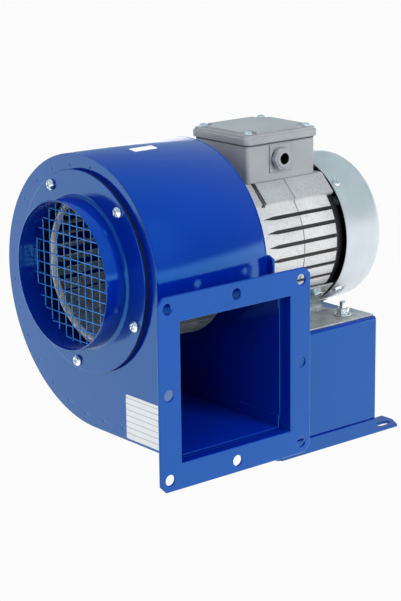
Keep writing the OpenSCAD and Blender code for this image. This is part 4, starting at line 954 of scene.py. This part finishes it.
class BLOWER_OT_stage(bpy.types.Operator):
    """Adds the floor, the soft lights and the camera"""
    bl_idname = "blower.stage"
    bl_label = "Stage"

    def execute(self, context):
        scene = context.scene
        scene.view_settings.view_transform = "Standard"
        self.floor()
        self.sky(scene)
        self.lights(scene)
        self.camera(scene)
        return {"FINISHED"}

    def floor(self):
        """A pale floor just under the feet, white to the camera and bright in reflections."""
        pick()
        bpy.ops.mesh.primitive_plane_add(size=14, location=(0, 0, -0.0002))
        floor = bpy.context.view_layer.objects.active
        floor.name = "floor"
        m, t, s, _ = material("pale_studio_floor", linear("#BEC2C6"), roughness=0.9)
        white = node(t, "ShaderNodeEmission", {"Color": (1, 1, 1, 1), "Strength": 0.97})
        mirror = node(t, "ShaderNodeEmission", {"Color": (0.97, 0.99, 1, 1), "Strength": 1.9})
        self.seen_as(t, s.outputs["BSDF"], mirror.outputs["Emission"], white.outputs["Emission"],
                     t.nodes["Material Output"])
        floor.data.materials.append(m)

    def sky(self, scene):
        """An even pale light, with a bright band at the horizon that only reflections see."""
        world = bpy.data.worlds.new("studio")
        scene.world = world
        world.use_nodes = True
        t = world.node_tree
        even = t.nodes["Background"]
        even.inputs["Color"].default_value = (0.93, 0.96, 1.0, 1.0)
        even.inputs["Strength"].default_value = 0.3
        way = node(t, "ShaderNodeTexCoord").outputs["Generated"]
        height = node(t, "ShaderNodeSeparateXYZ", links={"Vector": way}).outputs["Z"]
        band, haze, top = (2.2, 2.2, 2.2), (0.34, 0.48, 0.56), (0.6, 0.84, 0.93)
        bright = node(t, "ShaderNodeBackground", {"Strength": 1.0}, {
            "Color": colours(t, height, [(0.0, band), (0.05, band), (0.11, haze), (1.0, top)])})
        white = node(t, "ShaderNodeBackground", {"Color": (1, 1, 1, 1), "Strength": 1.0})
        self.seen_as(t, even.outputs["Background"], bright.outputs["Background"],
                     white.outputs["Background"], t.nodes["World Output"])

    def seen_as(self, t, lit, mirrored, white, out):
        """Shows plain white to the camera, one surface to reflections and the lit one to the rest."""
        path = node(t, "ShaderNodeLightPath")
        gloss = node(t, "ShaderNodeMixShader",
                     links={0: path.outputs["Is Glossy Ray"], 1: lit, 2: mirrored})
        mix = node(t, "ShaderNodeMixShader",
                   links={0: path.outputs["Is Camera Ray"], 1: gloss.outputs["Shader"], 2: white})
        t.links.new(mix.outputs["Shader"], out.inputs["Surface"])

    def lights(self, scene):
        """Five large soft lights: name, place, aim, size in metres and power in watts."""
        for name, place, aim, size, power in (
                ("soft_left", (-0.9, -1.6, 1.5), (0, -0.05, 0.15), (1.2, 1.6), 12),
                ("soft_front", (1.0, -1.9, 0.9), (0, -0.05, 0.15), (1.2, 1.2), 20),
                ("soft_right", (2.0, 0.4, 1.3), (0, 0, 0.15), (1.0, 1.8), 54),
                ("soft_back", (-1.6, 1.5, 1.0), (0, 0, 0.2), (1.4, 1.0), 16),
                ("soft_top", (-0.1, 0.2, 2.1), (0, 0, 0.1), (1.6, 1.6), 13)):
            light = bpy.data.lights.new(name, "AREA")
            light.shape = "RECTANGLE"
            light.size, light.size_y = size
            light.energy = power
            ob = self.stand(scene, light, place, aim)
            ob.visible_glossy = False

    def camera(self, scene):
        """The camera, fitted to the photograph."""
        cam = bpy.data.cameras.new("camera")
        cam.lens, cam.sensor_width, cam.sensor_fit = CAMERA_LENS, 36, "AUTO"
        cam.clip_start, cam.clip_end = 0.05, 40
        scene.camera = self.stand(scene, cam, CAMERA_PLACE, CAMERA_AIM, CAMERA_ROLL)

    def stand(self, scene, data, place, aim, roll=0.0):
        """Stands a light or the camera at its place, turned to its aim and rolled some degrees."""
        ob = bpy.data.objects.new(data.name, data)
        scene.collection.objects.link(ob)
        back = Vector(place) - Vector(aim)
        turn = back.to_track_quat("Z", "Y").to_matrix().to_4x4()
        tilt = Matrix.Rotation(math.radians(roll), 4, "Z")
        ob.matrix_world = Matrix.Translation(place) @ turn @ tilt
        return ob


STEPS = ["finishes", "sheets", "castings", "fasteners", "inlet", "impeller", "cowl", "labels", "stage"]


class BLOWER_PT_panel(bpy.types.Panel):
    """Lists the blower's sizes, colours and pieces"""
    bl_idname = "BLOWER_PT_panel"
    bl_label = "Centrifugal blower"
    bl_space_type = "VIEW_3D"
    bl_region_type = "UI"
    bl_category = "Blower"

    def draw(self, context):
        for group in (context.scene.blower_paint, context.scene.blower_sizes):
            for name in group.__annotations__:
                self.layout.prop(group, name)
        for step in STEPS:
            self.layout.operator("blower." + step)


CLASSES = [
    BlowerPaint, BlowerSizes, BLOWER_OT_finishes, BLOWER_OT_sheets, BLOWER_OT_castings,
    BLOWER_OT_fasteners, BLOWER_OT_inlet, BLOWER_OT_impeller, BLOWER_OT_cowl, BLOWER_OT_labels,
    BLOWER_OT_stage, BLOWER_PT_panel,
]


def register():
    for c in CLASSES:
        bpy.utils.register_class(c)
    bpy.types.Scene.blower_paint = bpy.props.PointerProperty(type=BlowerPaint)
    bpy.types.Scene.blower_sizes = bpy.props.PointerProperty(type=BlowerSizes)


def unregister():
    del bpy.types.Scene.blower_paint, bpy.types.Scene.blower_sizes
    for c in reversed(CLASSES):
        bpy.utils.unregister_class(c)


def main():
    register()
    for step in STEPS:
        getattr(bpy.ops.blower, step)()


if __name__ == "__main__":
    main()
